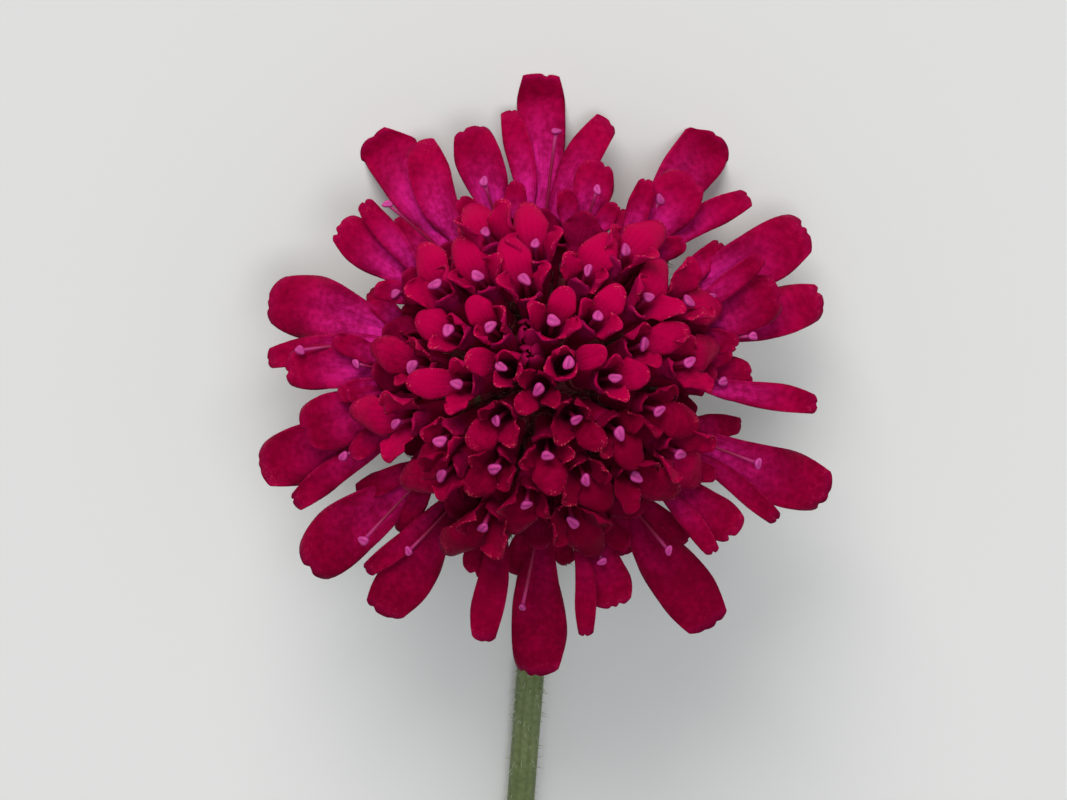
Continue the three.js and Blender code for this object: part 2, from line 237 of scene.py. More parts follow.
def soft_sun(name, direction, strength, colour):
    """A sun that shines from this direction."""
    data = bpy.data.lights.new(name, "SUN")
    data.angle = sun_spread
    data.energy = strength
    data.color = colour
    sun = bpy.data.objects.new(name, data)
    sun.matrix_world = Vector(direction).to_track_quat("Z", "Y").to_matrix().to_4x4()
    bpy.context.scene.collection.objects.link(sun)


soft_sun("top_light", (-0.12, 0.92, 0.46), 2.8, sun_white)
soft_sun("fill_light", (0.15, 0.30, 0.92), 0.90, sky_white)
sky = bpy.data.worlds.new("sky")
sky.use_nodes = True
background = sky.node_tree.nodes["Background"].inputs
background["Color"].default_value = (*sky_white, 1)
background["Strength"].default_value = sky_strength
bpy.context.scene.world = sky
bpy.context.scene.view_settings.view_transform = "Standard"
print("suns:", ", ".join(o.name for o in bpy.data.objects if o.type == "LIGHT"))

# %% [markdown]
# Each piece is one mesh, grown from many small parts. While it grows, its points, faces and marks are
# kept together. A mark is a number on every point, such as how far along a petal it lies, and the
# material reads it to know where the petal's base, edge or back is. That is how a painted look can
# follow the form without any picture.

# %% Growing a mesh
class Tissue:
    """The points, faces and marks of one piece while it grows."""

    def __init__(self, *marks):
        self.points = []
        self.faces = []
        self.marks = {name: [] for name in marks}
        self.size = 0

    def put(self, grid, **marks):
        """Adds a grid of points and returns the grid of their numbers."""
        shape = grid.shape[:-1]
        numbers = self.size + np.arange(math.prod(shape)).reshape(shape)
        self.points.append(grid.reshape(-1, 3))
        self.size += numbers.size
        for name, values in self.marks.items():
            values.append(np.broadcast_to(marks[name], shape).ravel())
        return numbers

    def join(self, *blocks):
        """Adds blocks of faces, each a table of point numbers."""
        for block in blocks:
            self.faces += block.tolist()

    def piece(self, name, material, slot, *replaced):
        """Makes the object, puts it on the flower's body and hides the solid that it replaces."""
        mesh = bpy.data.meshes.new(name)
        points = np.concatenate(self.points)
        mesh.from_pydata((points * MM).tolist(), [], self.faces)
        for mark, values in self.marks.items():
            layer = mesh.attributes.new(mark, "FLOAT", "POINT")
            layer.data.foreach_set("value", np.concatenate(values).astype(np.float32))
        mesh.shade_smooth()
        mesh.materials.append(material)
        thing = bpy.data.objects.new(name, mesh)
        bpy.context.scene.collection.objects.link(thing)
        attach(thing, "root")
        if replaced:
            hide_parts(*replaced)
        print(name, "has", len(mesh.polygons), "faces, lowest", round(float(points[:, 2].min()), 2), "mm")


print("a piece grows from points, faces and marks")

# %% [markdown]
# Skins are made from grids of point numbers. Four short functions turn a grid into faces, so that no
# later cell has to count points. The order of a face's corners decides which side is its front.

# %% Faces from a grid
def quads(grid):
    """Faces between the neighbouring points of a grid."""
    block = np.stack([grid[:-1, :-1], grid[1:, :-1], grid[1:, 1:], grid[:-1, 1:]], -1)
    return block.reshape(-1, 4)


def around(grid):
    """The grid with its first column again at its end, which closes it into a tube."""
    return np.concatenate([grid, grid[:, :1]], 1)


def fan(ring, middle):
    """Triangles from a closed ring of points to a middle point."""
    return np.stack([ring, np.roll(ring, -1), np.full_like(ring, middle)], -1)


def border(grid):
    """The points along a blade's edge: up its first side, over its tip and down its last side."""
    return np.concatenate([grid[:, 0], grid[-1, 1:-1], grid[::-1, -1]])


print("a grid of 3 x 4 points gives", len(quads(np.arange(12).reshape(3, 4))), "faces")

# %% [markdown]
# Materials are trees of nodes. A few helpers keep the wiring short enough to read: each adds one node,
# links or sets its inputs, and gives back its output.

# %% Wiring nodes
def node(tree, kind, inputs=None, **settings):
    """Adds a node with its settings, and links or sets its inputs."""
    new = tree.nodes.new(kind)
    for name, value in settings.items():
        setattr(new, name, value)
    for key, value in (inputs or {}).items():
        if isinstance(value, bpy.types.NodeSocket):
            tree.links.new(value, new.inputs[key])
        else:
            new.inputs[key].default_value = value
    return new


def maths(tree, operation, *values):
    """One step of arithmetic on numbers or on outputs of nodes."""
    return node(tree, "ShaderNodeMath", dict(enumerate(values)), operation=operation).outputs[0]


def product(tree, first, *others):
    """All the values multiplied together."""
    for other in others:
        first = maths(tree, "MULTIPLY", first, other)
    return first


def mixed(tree, factor, first, second):
    """A colour between two colours."""
    inputs = {0: factor, 6: first, 7: second}
    return node(tree, "ShaderNodeMix", inputs, data_type="RGBA").outputs[2]


def rise(tree, value, low, high, start=0.0, end=1.0):
    """Goes smoothly from start to end as the value goes from low to high."""
    inputs = {0: value, 1: low, 2: high, 3: start, 4: end}
    return node(tree, "ShaderNodeMapRange", inputs, interpolation_type="SMOOTHSTEP").outputs[0]


def marked(tree, name):
    """The value of one of the mesh's marks."""
    return node(tree, "ShaderNodeAttribute", attribute_name=name).outputs["Fac"]


def noise(tree, scale, detail=2.0):
    """Noise over the object's own space. A number's scale is per metre."""
    where = node(tree, "ShaderNodeTexCoord").outputs["Object"]
    inputs = {"Vector": where, "Scale": scale, "Detail": detail}
    return node(tree, "ShaderNodeTexNoise", inputs).outputs["Fac"]


def painted(tree, shader, colour):
    """Gives the shader its colour."""
    tree.links.new(colour, shader.inputs["Base Color"])


def bumped(tree, shader, height, strength, depth):
    """Lets a height from 0 to 1 stand for so many millimetres of relief."""
    inputs = {"Height": height, "Strength": strength, "Distance": depth * MM}
    tree.links.new(node(tree, "ShaderNodeBump", inputs).outputs["Normal"], shader.inputs["Normal"])


print("node helpers ready")

# %% [markdown]
# An effect that several materials share is a node group: it is built once, and each material places it
# with its own values. Groups give out only values, and the shader itself stays in the material.

# %% Node groups
def effect(name, inputs, output):
    """A new node group, with the outputs of its input node and the socket that its result goes to."""
    tree = bpy.data.node_groups.new(name, "ShaderNodeTree")
    for socket, default in inputs.items():
        made = tree.interface.new_socket(socket, in_out="INPUT", socket_type="NodeSocketFloat")
        made.default_value = default
    tree.interface.new_socket(output, in_out="OUTPUT", socket_type="NodeSocketFloat")
    result = tree.nodes.new("NodeGroupOutput").inputs[0]
    return tree, tree.nodes.new("NodeGroupInput").outputs, result


def used(tree, group, **inputs):
    """Places a group in a material with that material's values, and gives its result."""
    return node(tree, "ShaderNodeGroup", inputs, node_tree=group).outputs[0]


print("groups can be made and placed")

# %% [markdown]
# Veins on a petal start together at its narrow base and spread out to its edge. The mark for across
# runs from -1 to 1 at every width, so stripes of that mark spread in just that way, and a little noise
# bends them.

# %% Effect: veins along a blade
wander_scale = 700.0
wander_reach = 0.25  # of the mark for across
vein_sharpness = 9.0

veins, given, result = effect("lengthwise_veins", {"Across": 0, "Along": 0, "Count": 5}, "Lines")
wander = product(veins, maths(veins, "SUBTRACT", noise(veins, wander_scale), 0.5), wander_reach)
stripes = product(veins, maths(veins, "ADD", given["Across"], wander), given["Count"], math.pi)
wave = maths(veins, "ABSOLUTE", maths(veins, "COSINE", stripes))
fade = rise(veins, given["Along"], 0.95, 0.45)
veins.links.new(product(veins, maths(veins, "POWER", wave, vein_sharpness), fade), result)
print("group:", veins.name)

# %% [markdown]
# Living tissue is never one flat colour. Mottling is noise at two sizes, averaged. The edge mask rises
# close to a blade's side or tip, for painted shade at the sides and for painted highlights on the rims
# and on the fine cells there.

# %% Effects: mottling and edges
mottle, given, result = effect("soft_mottle", {"Coarse": 300, "Fine": 3000}, "Value")
both = maths(mottle, "ADD", noise(mottle, given["Coarse"]), noise(mottle, given["Fine"]))
mottle.links.new(product(mottle, both, 0.5), result)

edges, given, result = effect("edge_mask", {"Across": 0, "Along": 0, "Start": 0.8}, "Mask")
nearest = maths(edges, "MAXIMUM", maths(edges, "ABSOLUTE", given["Across"]), given["Along"])
edges.links.new(rise(edges, nearest, given["Start"], 1.0), result)
print("groups:", mottle.name, "and", edges.name)

# %% [markdown]
# The petals go from a violet magenta near the base, a painted sheen, to deep crimson at the tip. Their
# backs are a duller mauve. The throats are painted almost black red and the tubes a darker red, as the
# shade deep among the florets. The colours are given in linear light, which is why the greens are so
# near to nothing: a pure crimson reflects hardly any.

# %% Petal colours
CRIMSON = (0.37, 0.0004, 0.046, 1)
DEEP_CRIMSON = (0.135, 0.0002, 0.014, 1)
# A painted sheen.
MAGENTA_SHEEN = (0.60, 0.016, 0.26, 1)
MAUVE = (0.24, 0.003, 0.055, 1)
# The next two are painted shade, for the throats and the tubes.
THROAT_SHADE = (0.090, 0.0003, 0.011, 1)
TUBE_SHADE_RED = (0.24, 0.0005, 0.028, 1)
# The next two are painted highlights, on the rims and on their cells.
RIM_HIGHLIGHT_PINK = (0.42, 0.008, 0.10, 1)
GOLD_GLINT = (0.75, 0.12, 0.12, 1)
print("crimson reflects", round(CRIMSON[0] / CRIMSON[1]), "times as much red as green")

# %% [markdown]
# The crimson itself deepens towards the base and the sides, a painted shade, and it is painted brighter
# on the sunlit side of the head, where the mark for painted sun and tone is high; some chance in that
# mark varies it from petal to petal. A painted magenta sheen runs along the middle and fades towards
# the tip. It is strongest on the sunlit side, and the veins are drawn over both.

# %% The face of a petal
mottle_weight = 0.9  # of the mottling, in the sum that sets how bright the crimson is
painted_sun_and_tone_weight = 0.55  # of the petal's painted sunlight and tone, in the same sum
bright_range = (0.40, 1.0)  # of that sum, from deep crimson to crimson
base_brightness = 0.35  # painted shade at the base, beside 1 at the tip
painted_sheen_sun_tones = (0.15, 0.45)  # the painted sunlight between which the painted sheen grows
painted_sheen_strengths = (0.1, 1.4)  # at those two values of painted sunlight
vein_share = 0.20


def petal_face(tree, look, across, along, tone, soft):
    """A petal's colour on its upper side, with its painted shade, sunlight and sheen, and its veins."""
    # Painted sunlight from the mark, mixed with the mottling.
    brightness = maths(tree, "ADD", product(tree, soft, mottle_weight), product(tree, tone, painted_sun_and_tone_weight))
    # Painted shade towards the petal's base.
    outward = rise(tree, along, 0.0, look["bright_from"], base_brightness)
    light = product(tree, rise(tree, brightness, *bright_range), outward)
    colour = mixed(tree, light, DEEP_CRIMSON, CRIMSON)
    # Painted shade along the petal's sides.
    sides = used(tree, edges, Across=across, Along=along, Start=0.5)
    colour = mixed(tree, product(tree, sides, look["side_shade"]), colour, DEEP_CRIMSON)
    start, end = look["magenta"]
    # A painted magenta sheen along the middle, strongest on the sunlit side.
    lengthwise = product(tree, rise(tree, along, 0.02, start), rise(tree, along, start, end, 1.0, 0.0))
    crosswise = rise(tree, maths(tree, "ABSOLUTE", across), 0.35, 1.0, 1.0, 0.25)
    patchy = rise(tree, soft, 0.35, 0.65, 0.3)
    strength = rise(tree, tone, *painted_sheen_sun_tones, *painted_sheen_strengths)
    glow = product(tree, lengthwise, crosswise, patchy, strength, look["magenta_share"])
    colour = mixed(tree, glow, colour, MAGENTA_SHEEN)
    lines = used(tree, veins, Across=across, Along=along, Count=look["veins"])
    return mixed(tree, product(tree, lines, vein_share), colour, DEEP_CRIMSON), lines


print("a petal's face is crimson with a glow and veins")

# %% [markdown]
# Over the face go the back, the painted shade of the throat and the tube, a pink rim and golden glints
# on the rim's cells, the last two painted highlights. A crimson petal is velvety: tiny domed cells give
# it a soft bloom of light and no sharp gloss, which is what the shader's sheen does, and a fine bump
# stands for the cells.

# %% Petal material
rim_start = 0.93  # of the way from the middle to a side, or from base to tip
glint_start = 0.86
cell_scale = 9000.0
velvet_scale = 6500.0
velvet_strength = 0.35
velvet_depth = 0.06
# Shares of the painted shade in the throat and on the tube.
throat_shade_share = 0.8
tube_shade_share = 0.95
vein_relief = -0.5  # below 0, as the veins are sunk


def petal(name, **look):
    """The material of a petal, from the marks on its mesh and from its own look."""
    material, tree, shader = principled(
        name, Roughness=0.55, Specular_IOR_Level=0.05, Specular_Tint=(1.0, 0.05, 0.30, 1),
        Sheen_Weight=0.05, Sheen_Roughness=0.4, Sheen_Tint=(1.0, 0.03, 0.40, 1),
    )
    across, along, back, tone = (marked(tree, name) for name in ("across", "along", "back", "tone"))
    soft = used(tree, mottle, Coarse=350.0, Fine=2600.0)
    face, lines = petal_face(tree, look, across, along, tone, soft)
    colour = mixed(tree, back, face, MAUVE)
    # Painted shade: the throat and the outside of the tube are darkened.
    throat_shade = rise(tree, along, -0.05, 0.45 * look["bright_from"], 1.0, 0.0)
    inside = rise(tree, back, 0.0, 0.05, 1.0, 0.0)
    colour = mixed(tree, product(tree, throat_shade, inside, throat_shade_share), colour, THROAT_SHADE)
    tube = product(tree, rise(tree, along, 0.10, -0.10), rise(tree, back, 0.0, 0.05), tube_shade_share)
    colour = mixed(tree, tube, colour, TUBE_SHADE_RED)
    # Painted highlights: a pink rim along the edge and golden glints on the rim's cells.
    rim = used(tree, edges, Across=across, Along=along, Start=rim_start)
    colour = mixed(tree, product(tree, rim, look["rim_share"]), colour, RIM_HIGHLIGHT_PINK)
    bright_cells = rise(tree, noise(tree, cell_scale, detail=1.0), 0.56, 0.68)
    cells = product(tree, bright_cells, rise(tree, soft, 0.48, 0.58))
    edge = used(tree, edges, Across=across, Along=along, Start=glint_start)
    colour = mixed(tree, product(tree, edge, cells, look["gold_share"]), colour, GOLD_GLINT)
    painted(tree, shader, colour)
    relief = maths(tree, "ADD", product(tree, lines, vein_relief), noise(tree, velvet_scale))
    bumped(tree, shader, relief, velvet_strength, velvet_depth)
    return material


disc_petal = petal("disc_petal", magenta=(0.25, 0.6), magenta_share=0.06, veins=3.0, bright_from=0.85,
                   rim_share=0.0, side_shade=0.12, gold_share=0.5)
ray_petal = petal("ray_petal", magenta=(0.25, 0.90), magenta_share=0.7, veins=4.0, bright_from=0.4,
                  rim_share=0.15, side_shade=0.25, gold_share=0.12)
print("materials:", disc_petal.name, "and", ray_petal.name)

# %% [markdown]
# Every floret is a little trumpet with four lobes, and the lobes come in a few kinds: long ones and
# side ones on the rim, broad paddles, upright wings and small inner ones on the dome, and pointed ones
# that close a bud. A kind is a set of shares: where the blade is broadest, how much it narrows to tip
# and base, how round and how cupped it is. So one formula can draw them all.

# %% Kinds of lobe
lobe_kinds = {
    "long": dict(rows=26, columns=18, peak=0.80, taper=0.66, waist=0.36, round=0.42, crease=0.10,
                 ripple=0.20, recurve=0.14, wobble=0.05, paleness=0.6),
    "side": dict(rows=18, columns=10, peak=0.76, taper=0.72, waist=0.42, round=0.48, crease=0.08,
                 ripple=0.24, recurve=0.12, wobble=0.07, paleness=0.55),
    "paddle": dict(rows=14, columns=12, peak=0.70, taper=0.66, waist=0.60, round=0.80, crease=0.03,
                   ripple=0.07, recurve=0.35, wobble=0.05, paleness=0.45),
    "wing": dict(rows=12, columns=10, peak=0.62, taper=0.80, waist=0.72, round=0.75, crease=0.0,
                 ripple=0.20, recurve=-0.10, wobble=0.08, paleness=0.35),
    "bud": dict(rows=12, columns=8, peak=0.42, taper=0.97, waist=0.8, round=0.35, crease=0.0,
                ripple=0.10, recurve=-0.15, wobble=0.05, paleness=0.95),
    "inner": dict(rows=10, columns=8, peak=0.50, taper=0.88, waist=0.8, round=0.6, crease=0.0,
                  ripple=0.12, recurve=0.10, wobble=0.06, paleness=0.95),
}
print("kinds of lobe:", ", ".join(lobe_kinds))

# %% [markdown]
# Three formulas give a blade its shape. Its width opens from the waist to the peak and closes to the
# tip. Its height bends with the cup, a crease down the middle, ripples and a tip that curls back. And
# its end is drawn back into a round, slightly slanting one with shallow notches. Here u runs from side
# to side, from -1 to 1, and v from base to tip, from 0 to 1. The values below are given in u and v.

# %% Shape of a blade
crease_width = 0.22
ripple_waves = (1.3, 2.9)  # slow and quick ones from base to tip
quick_share = 0.6
curl_start = 0.6
corner_start = 0.45
slant_start = 0.5
notch_width = 0.13
notch_start = 0.80


def blade_width(v, half_width, kind):
    """Half of the width of the blade at each v."""
    opening = ease(v / kind["peak"])
    closing = np.clip((v - kind["peak"]) / (1 - kind["peak"]), 0, 1)
    width = kind["waist"] + (1 - kind["waist"]) * opening
    return half_width * width * np.sqrt(1 - (kind["taper"] * closing) ** 2)


def blade_height(u, v, half_width, cup, kind):
    """How far each point of the blade stands above or below a flat one."""
    crease = np.exp(-((u / crease_width) ** 2)) * np.sin(math.pi * v)
    slow = np.sin(2 * math.pi * (ripple_waves[0] * v + kind["phase"]))
    quick = np.sin(2 * math.pi * (ripple_waves[1] * v - kind["phase"]))
    ripple = (slow + quick_share * quick) * np.sign(u) ** kind["odd"] * np.abs(u) ** 2.5 * ease(2 * v)
    recurve = late(v, curl_start) * (0.4 + 0.6 * v)
    height = cup * u**2 * v - kind["crease"] * crease + kind["ripple"] * ripple - kind["recurve"] * recurve
    return half_width * height


def drawn_back(u, v, half_width, kind):
    """How far each point of the blade falls short of a straight end."""
    corners = kind["round"] * (1 - np.sqrt(1 - (0.94 * u) ** 2)) * late(v, corner_start)
    slant = kind["skew"] * (1 + u) / 2 * late(v, slant_start)
    notches = sum(depth * np.exp(-(((u - place) / notch_width) ** 2)) for place, depth in kind["notches"])
    return half_width * (corners + slant) + notches * late(v, notch_start)


print("a blade has width, height and a drawn-back end")

# %% [markdown]
# A lobe starts as a part of the tube's round wall and opens into its flat blade, so its cross-section
# is blended from an arc to the blade over the first third of its length. Its middle line is a curve
# with three control points, which is enough for a petal that rises and then leans over.

# %% Middle surface of a lobe
throat_radius = 0.74
throat_dip = 0.25  # of the rim, between two lobes
open_share = 0.3  # of a lobe's length, after which it has its blade's full shape
twist_speed = 1.7  # above 1, a lobe's twist is done before its tip
sway_waves = 1.4
sway_shift = 0.27  # of a wave, between the two edges


def lobe_surface(base, control, tip, base_side, tip_side, arc, half_width, cup, kind):
    """Points with rows from base to tip and columns from side to side, and their u and v."""
    v = np.linspace(0, 1, kind["rows"] + 1)[:, None]
    u = np.linspace(-1, 1, len(arc))[None, :]
    line = curve(v, base, control, tip)
    along = unit((1 - v) * (control - base) + v * (tip - control))
    across = base_side + (tip_side - base_side) * np.minimum(1, twist_speed * v)
    across = unit(across - along * (across * along).sum(1, keepdims=True))
    up = np.cross(along, across)

    sway = np.sin(2 * math.pi * (sway_waves * v + kind["phase"] + sway_shift * np.sign(u)))
    blade_x = blade_width(v, half_width, kind) * u * (1 + kind["wobble"] * sway * ease(3 * v))
    blend = ease(v / open_share)
    x = (1 - blend) * throat_radius * np.sin(arc) + blend * blade_x
    z = (1 - blend) * throat_radius * (1 - np.cos(arc)) + blend * blade_height(u, v, half_width, cup, kind)
    back = drawn_back(u, v, half_width, kind) + throat_dip * u**4 * (1 - blend)
    grid = line[:, None, :] - along[:, None, :] * back[..., None]
    return grid + across[:, None, :] * x[..., None] + up[:, None, :] * z[..., None], u, v


print("a lobe opens out of a throat", 2 * throat_radius, "mm wide")

# %% [markdown]
# A lobe has two skins a fifth of a millimetre apart, closer together towards the rim, where a petal is
# thinnest. They are joined along the lobe's edge, and at its base to the inside and the outside of the
# tube. A lobe that rests on the table is lifted onto it, point by point. The lower skin carries the mark
# for back, which is fainter where the painted sunlight is low, as painted shade.

# %% Skins of a lobe
wall = 0.22
side_thinning = 0.62  # this and the next two are shares of the wall
tip_thinning = 0.45
least_thickness = 0.25
least_paleness = 0.15  # of a lower skin in painted shade, beside 1 in full painted sunlight
table_clearance = 0.02


def lobe_skins(tissue, lobe, surface, rim_normal, u, v, inside_rim, outside_rim):
    """Adds the two skins of a lobe and joins them along its edge and to the rim of the tube."""
    normal = unit(np.cross(np.gradient(surface, axis=0), np.gradient(surface, axis=1)))
    normal[0] = rim_normal
    thickness = 1 - ease(v / 0.2) * (side_thinning * np.abs(u) ** 3) - tip_thinning * late(v, 0.8)
    offset = normal * (wall / 2 * np.clip(thickness, least_thickness, 1))[..., None]
    upper, lower = surface + offset, surface - offset
    if lobe["rests"]:
        lift = np.maximum(0, table_clearance - on_table(lower)[..., 2])[..., None] * table_up
        upper, lower = upper + lift, lower + lift
    # The back is fainter where the painted sunlight is low, a painted shade.
    paleness = lobe["kind"]["paleness"] * (least_paleness + (1 - least_paleness) * lobe["tone"] ** 2)
    marks = dict(across=u, along=v[1:], tone=lobe["tone"])
    over = np.vstack([inside_rim, tissue.put(on_table(upper[1:]), back=0.0, **marks)])
    under = np.vstack([outside_rim, tissue.put(on_table(lower[1:]), back=paleness, **marks)])
    tissue.join(quads(over), quads(under)[:, ::-1], quads(np.stack([border(under), border(over)], 1)))


print("a lobe is", wall, "mm thick")

# %% [markdown]
# The tube widens from its root to its throat, and the four lobes stand on its rim. The skin of tube and
# lobes is one closed surface: outside up to the rim, over each lobe's edge, and down inside to a small
# floor. So a floret has no loose edge from any side.

# %% One floret
tube_root_radius = 0.48
tube_flare = 2.4  # the power by which the tube widens
dip_reach = 0.9  # how far below the rim its dips are felt
hollow_depth = 2.0  # this and the next are measured down from the mouth
tube_floor = 2.1
tube_rows = 8
hollow_rows = 5


def floret(tissue, mouth, axis, outward, tube_length, lobes):
    """Adds a tube with its lobes, which are given in their order round it."""
    sideways = np.cross(axis, outward)

    def direction(turn):
        return turned(np.asarray(turn)[..., None], outward, sideways)

    middles = np.radians([lobe["turn"] for lobe in lobes])
    after = (middles + np.append(middles[1:], middles[0] + 2 * math.pi)) / 2
    before = np.append(after[-1] - 2 * math.pi, after[:-1])
    columns = [np.linspace(-1, 1, lobe["kind"]["columns"] + 1) for lobe in lobes]
    arcs = [
        np.where(u < 0, u * (middle - low), u * (high - middle))
        for u, middle, low, high in zip(columns, middles, before, after)
    ]
    turns = np.concatenate([middle + arc[:-1] for middle, arc in zip(middles, arcs)])
    ring_u = np.concatenate([u[:-1] for u in columns])
    tone = lobes[1]["tone"]

    def tube(heights, side):
        share = np.clip(1 + heights / tube_length, 0, 1)
        radius = tube_root_radius + (throat_radius - tube_root_radius) * share**tube_flare + side * wall / 2
        level = heights[:, None] - throat_dip * ring_u**4 * ease(1 + heights[:, None] / dip_reach)
        grid = mouth + axis * level[..., None] + direction(turns)[None] * radius[:, None, None]
        along = heights[:, None] / tube_length
        return tissue.put(on_table(grid), across=ring_u, along=along, back=float(side > 0), tone=tone)

    outside = tube(np.linspace(-tube_length, 0, tube_rows), 1)
    inside = tube(np.linspace(-hollow_depth, 0, hollow_rows), -1)
    root = tissue.put(on_table(mouth - axis * tube_length), across=0.0, along=-1.0, back=1.0, tone=tone)
    floor = tissue.put(on_table(mouth - axis * tube_floor), across=0.0, along=-0.5, back=0.0, tone=tone)
    tissue.join(quads(around(outside))[:, ::-1], quads(around(inside)))
    tissue.join(fan(outside[0], root)[:, ::-1], fan(inside[0], floor))

    first = 0
    for lobe, middle, arc in zip(lobes, middles, arcs):
        away = direction(middle)
        base = mouth + throat_radius * away
        tip = lobe["tip"](base, away, axis)
        length = np.linalg.norm(tip - base)
        side = np.cross(axis, away)
        control = base + (axis * lobe["rise"] + side * lobe["bend"]) * length
        tip_side = lobe["tip_side"]
        if tip_side is None:
            tip_side = turned(lobe["twist"], side, away)
        surface, u, v = lobe_surface(
            base, control, tip, side, tip_side, arc, lobe["half_width"], lobe["cup"], lobe["kind"]
        )
        ring = np.arange(first, first + len(arc)) % len(turns)
        lobe_skins(tissue, lobe, surface, -direction(middle + arc), u, v, inside[-1][ring], outside[-1][ring])
        first += len(arc) - 1


print("a floret is a closed tube with four lobes")

# %% [markdown]
# What is left to say of a lobe is where it stands, how wide it is and where its tip goes. A tip either
# leans out from the tube by an angle or reaches for a given place. The sunny side of the head, at the
# top of the photograph, is painted brighter and pinker. Each floret's painted sunlight depends on how
# far round from there it stands, with some chance in its tone, and it differs more on the dome than on
# the rim.

# %% Placing lobes
sunny_azimuth = 95
disc_painted_sun_tones = (0.0, 1.25)  # on the shaded side and on the sunny side
ray_painted_sun_tones = (0.15, 0.5)
tone_scatter = 0.2
quarter_turns = (-90, 0, 90, 180)
inner_lobe_turn = 180


def lobe(kind, turn, half_width, tip, rise, cup, tone, bend=0.0, twist=0.0, tip_side=None,
         rests=False, notches=()):
    """What a floret has to know of one lobe, with the chance in its shape."""
    kind = dict(lobe_kinds[kind], phase=chance.random(), odd=chance.integers(0, 2), notches=notches,
                skew=chance.uniform(-0.2, 0.2))
    return dict(kind=kind, turn=turn, half_width=half_width, tip=tip, rise=rise, cup=cup, bend=bend,
                twist=math.radians(twist), tip_side=tip_side, rests=rests, tone=tone)


def leaning(length, lean):
    """A tip at this length from the base, leaning away from the tube's axis."""
    return lambda base, away, axis: base + length * turned(math.radians(lean), axis, away)


def reaching(target):
    """A tip at a given place."""
    return lambda base, away, axis: target


def painted_sun_and_tone_at(azimuth, shaded_tone, sunny_tone):
    """The painted sunlight of what stands at this azimuth, with some chance in its tone."""
    # Painted sunlight, highest towards the sunny azimuth, with some chance.
    sunny = 0.5 + 0.5 * math.cos(math.radians(azimuth - sunny_azimuth))
    sunny += chance.uniform(-tone_scatter, tone_scatter)
    return min(1, shaded_tone + (sunny_tone - shaded_tone) * float(np.clip(sunny, 0, 1)))


def tube_frame(azimuth, tilt):
    """A floret's axis, tilted away from the head's, and its outward side."""
    angle = math.radians(tilt)
    radial = polar(azimuth, 1, 0)
    return turned(angle, head_up, radial), turned(angle, radial, -head_up)


print("lobes can lean or reach")

# %% [markdown]
# On the dome the largest lobe of a floret lies outward like a roof tile, and the two beside it stand up
# as cupped wings. That gives the heart of the flower its crowded look, with dark hollows between. A
# lobe's width and length have three parts: what it has at the axis, what it gains on the way out to
# 10 mm, and what the outermost florets gain besides, which fills the gap to the rim.

# %% Lobes of a disc floret
wing_turn = 82
wing_width = (0.80, 0.12, 0.15)
wing_length = (2.4, 0.4, 0.5)
wing_lean = (18, 1.0)  # degrees at the axis, and per millimetre from it
paddle_width = (0.84, 0.52, 0.10)
paddle_length = (2.9, 0.9, 0.6)
paddle_lean = (22, 4.4)


def disc_lobes(radius, tone):
    """Four lobes in their order round the tube, for a floret at this distance from the axis."""
    openness = radius / 10
    outermost = float(ease((radius - 6) / 3))

    def size(parts, least, most):
        at_axis, outward_gain, rim_gain = parts
        return (at_axis + outward_gain * openness) * chance.uniform(least, most) + rim_gain * outermost

    wings = []
    for turn in (-wing_turn, wing_turn):
        width = size(wing_width, 0.85, 1.15)
        length = size(wing_length, 0.85, 1.15)
        lean = wing_lean[0] + wing_lean[1] * radius + chance.uniform(-12, 12)
        wings.append(lobe(
            "wing", turn, width, leaning(length, lean), rise=0.5, cup=0.5 - 0.2 * openness, tone=tone,
            bend=chance.uniform(-0.08, 0.08), twist=chance.uniform(-30, 30),
        ))
    width = size(paddle_width, 0.9, 1.1)
    length = size(paddle_length, 0.88, 1.14)
    lean = paddle_lean[0] + paddle_lean[1] * radius + chance.uniform(-8, 6)
    paddle = lobe(
        "paddle", 0, width, leaning(length, lean), rise=0.45, cup=0.15 - 0.65 * openness, tone=tone,
        bend=chance.uniform(-0.05, 0.05), twist=chance.uniform(-10, 10),
    )
    inner_tip = leaning(length=1.8, lean=14 + chance.uniform(-10, 10))
    inner = lobe("inner", inner_lobe_turn, half_width=0.78, tip=inner_tip, rise=0.5, cup=0.3, tone=tone)
    return [wings[0], paddle, wings[1], inner]


print("a disc floret has a paddle, two wings", 2 * wing_turn, "degrees apart, and an inner lobe")

# %% [markdown]
# The dome's florets sit in the spiral that sunflowers and daisies share: each stands a golden angle
# round from the one before, a little further out. Near the axis two buds are still folded. Each open
# floret asks for a style, which a later cell grows.

# %% Disc florets
GOLDEN_ANGLE = 137.508
disc_floret_count = 36
disc_spacing = 1.5
disc_start_share = 0.2  # of a step in the spiral, so that the first floret isn't on the axis
disc_start_azimuth = 252
disc_tube_length = 5.4
disc_tilt = 6  # degrees per millimetre from the axis
disc_swing = 24
disc_style_height = (1.5, 0.04)  # at the axis, and per millimetre from it
dome_top = 13.2
dome_fall = 0.05  # the dome drops by this times the square of the radius
buds = ((116, 1.45), (106, 2.8))  # azimuth and radius of each
bud_mouth_height = 10.5
bud_tube_length = 3.0
bud_tilt = 9

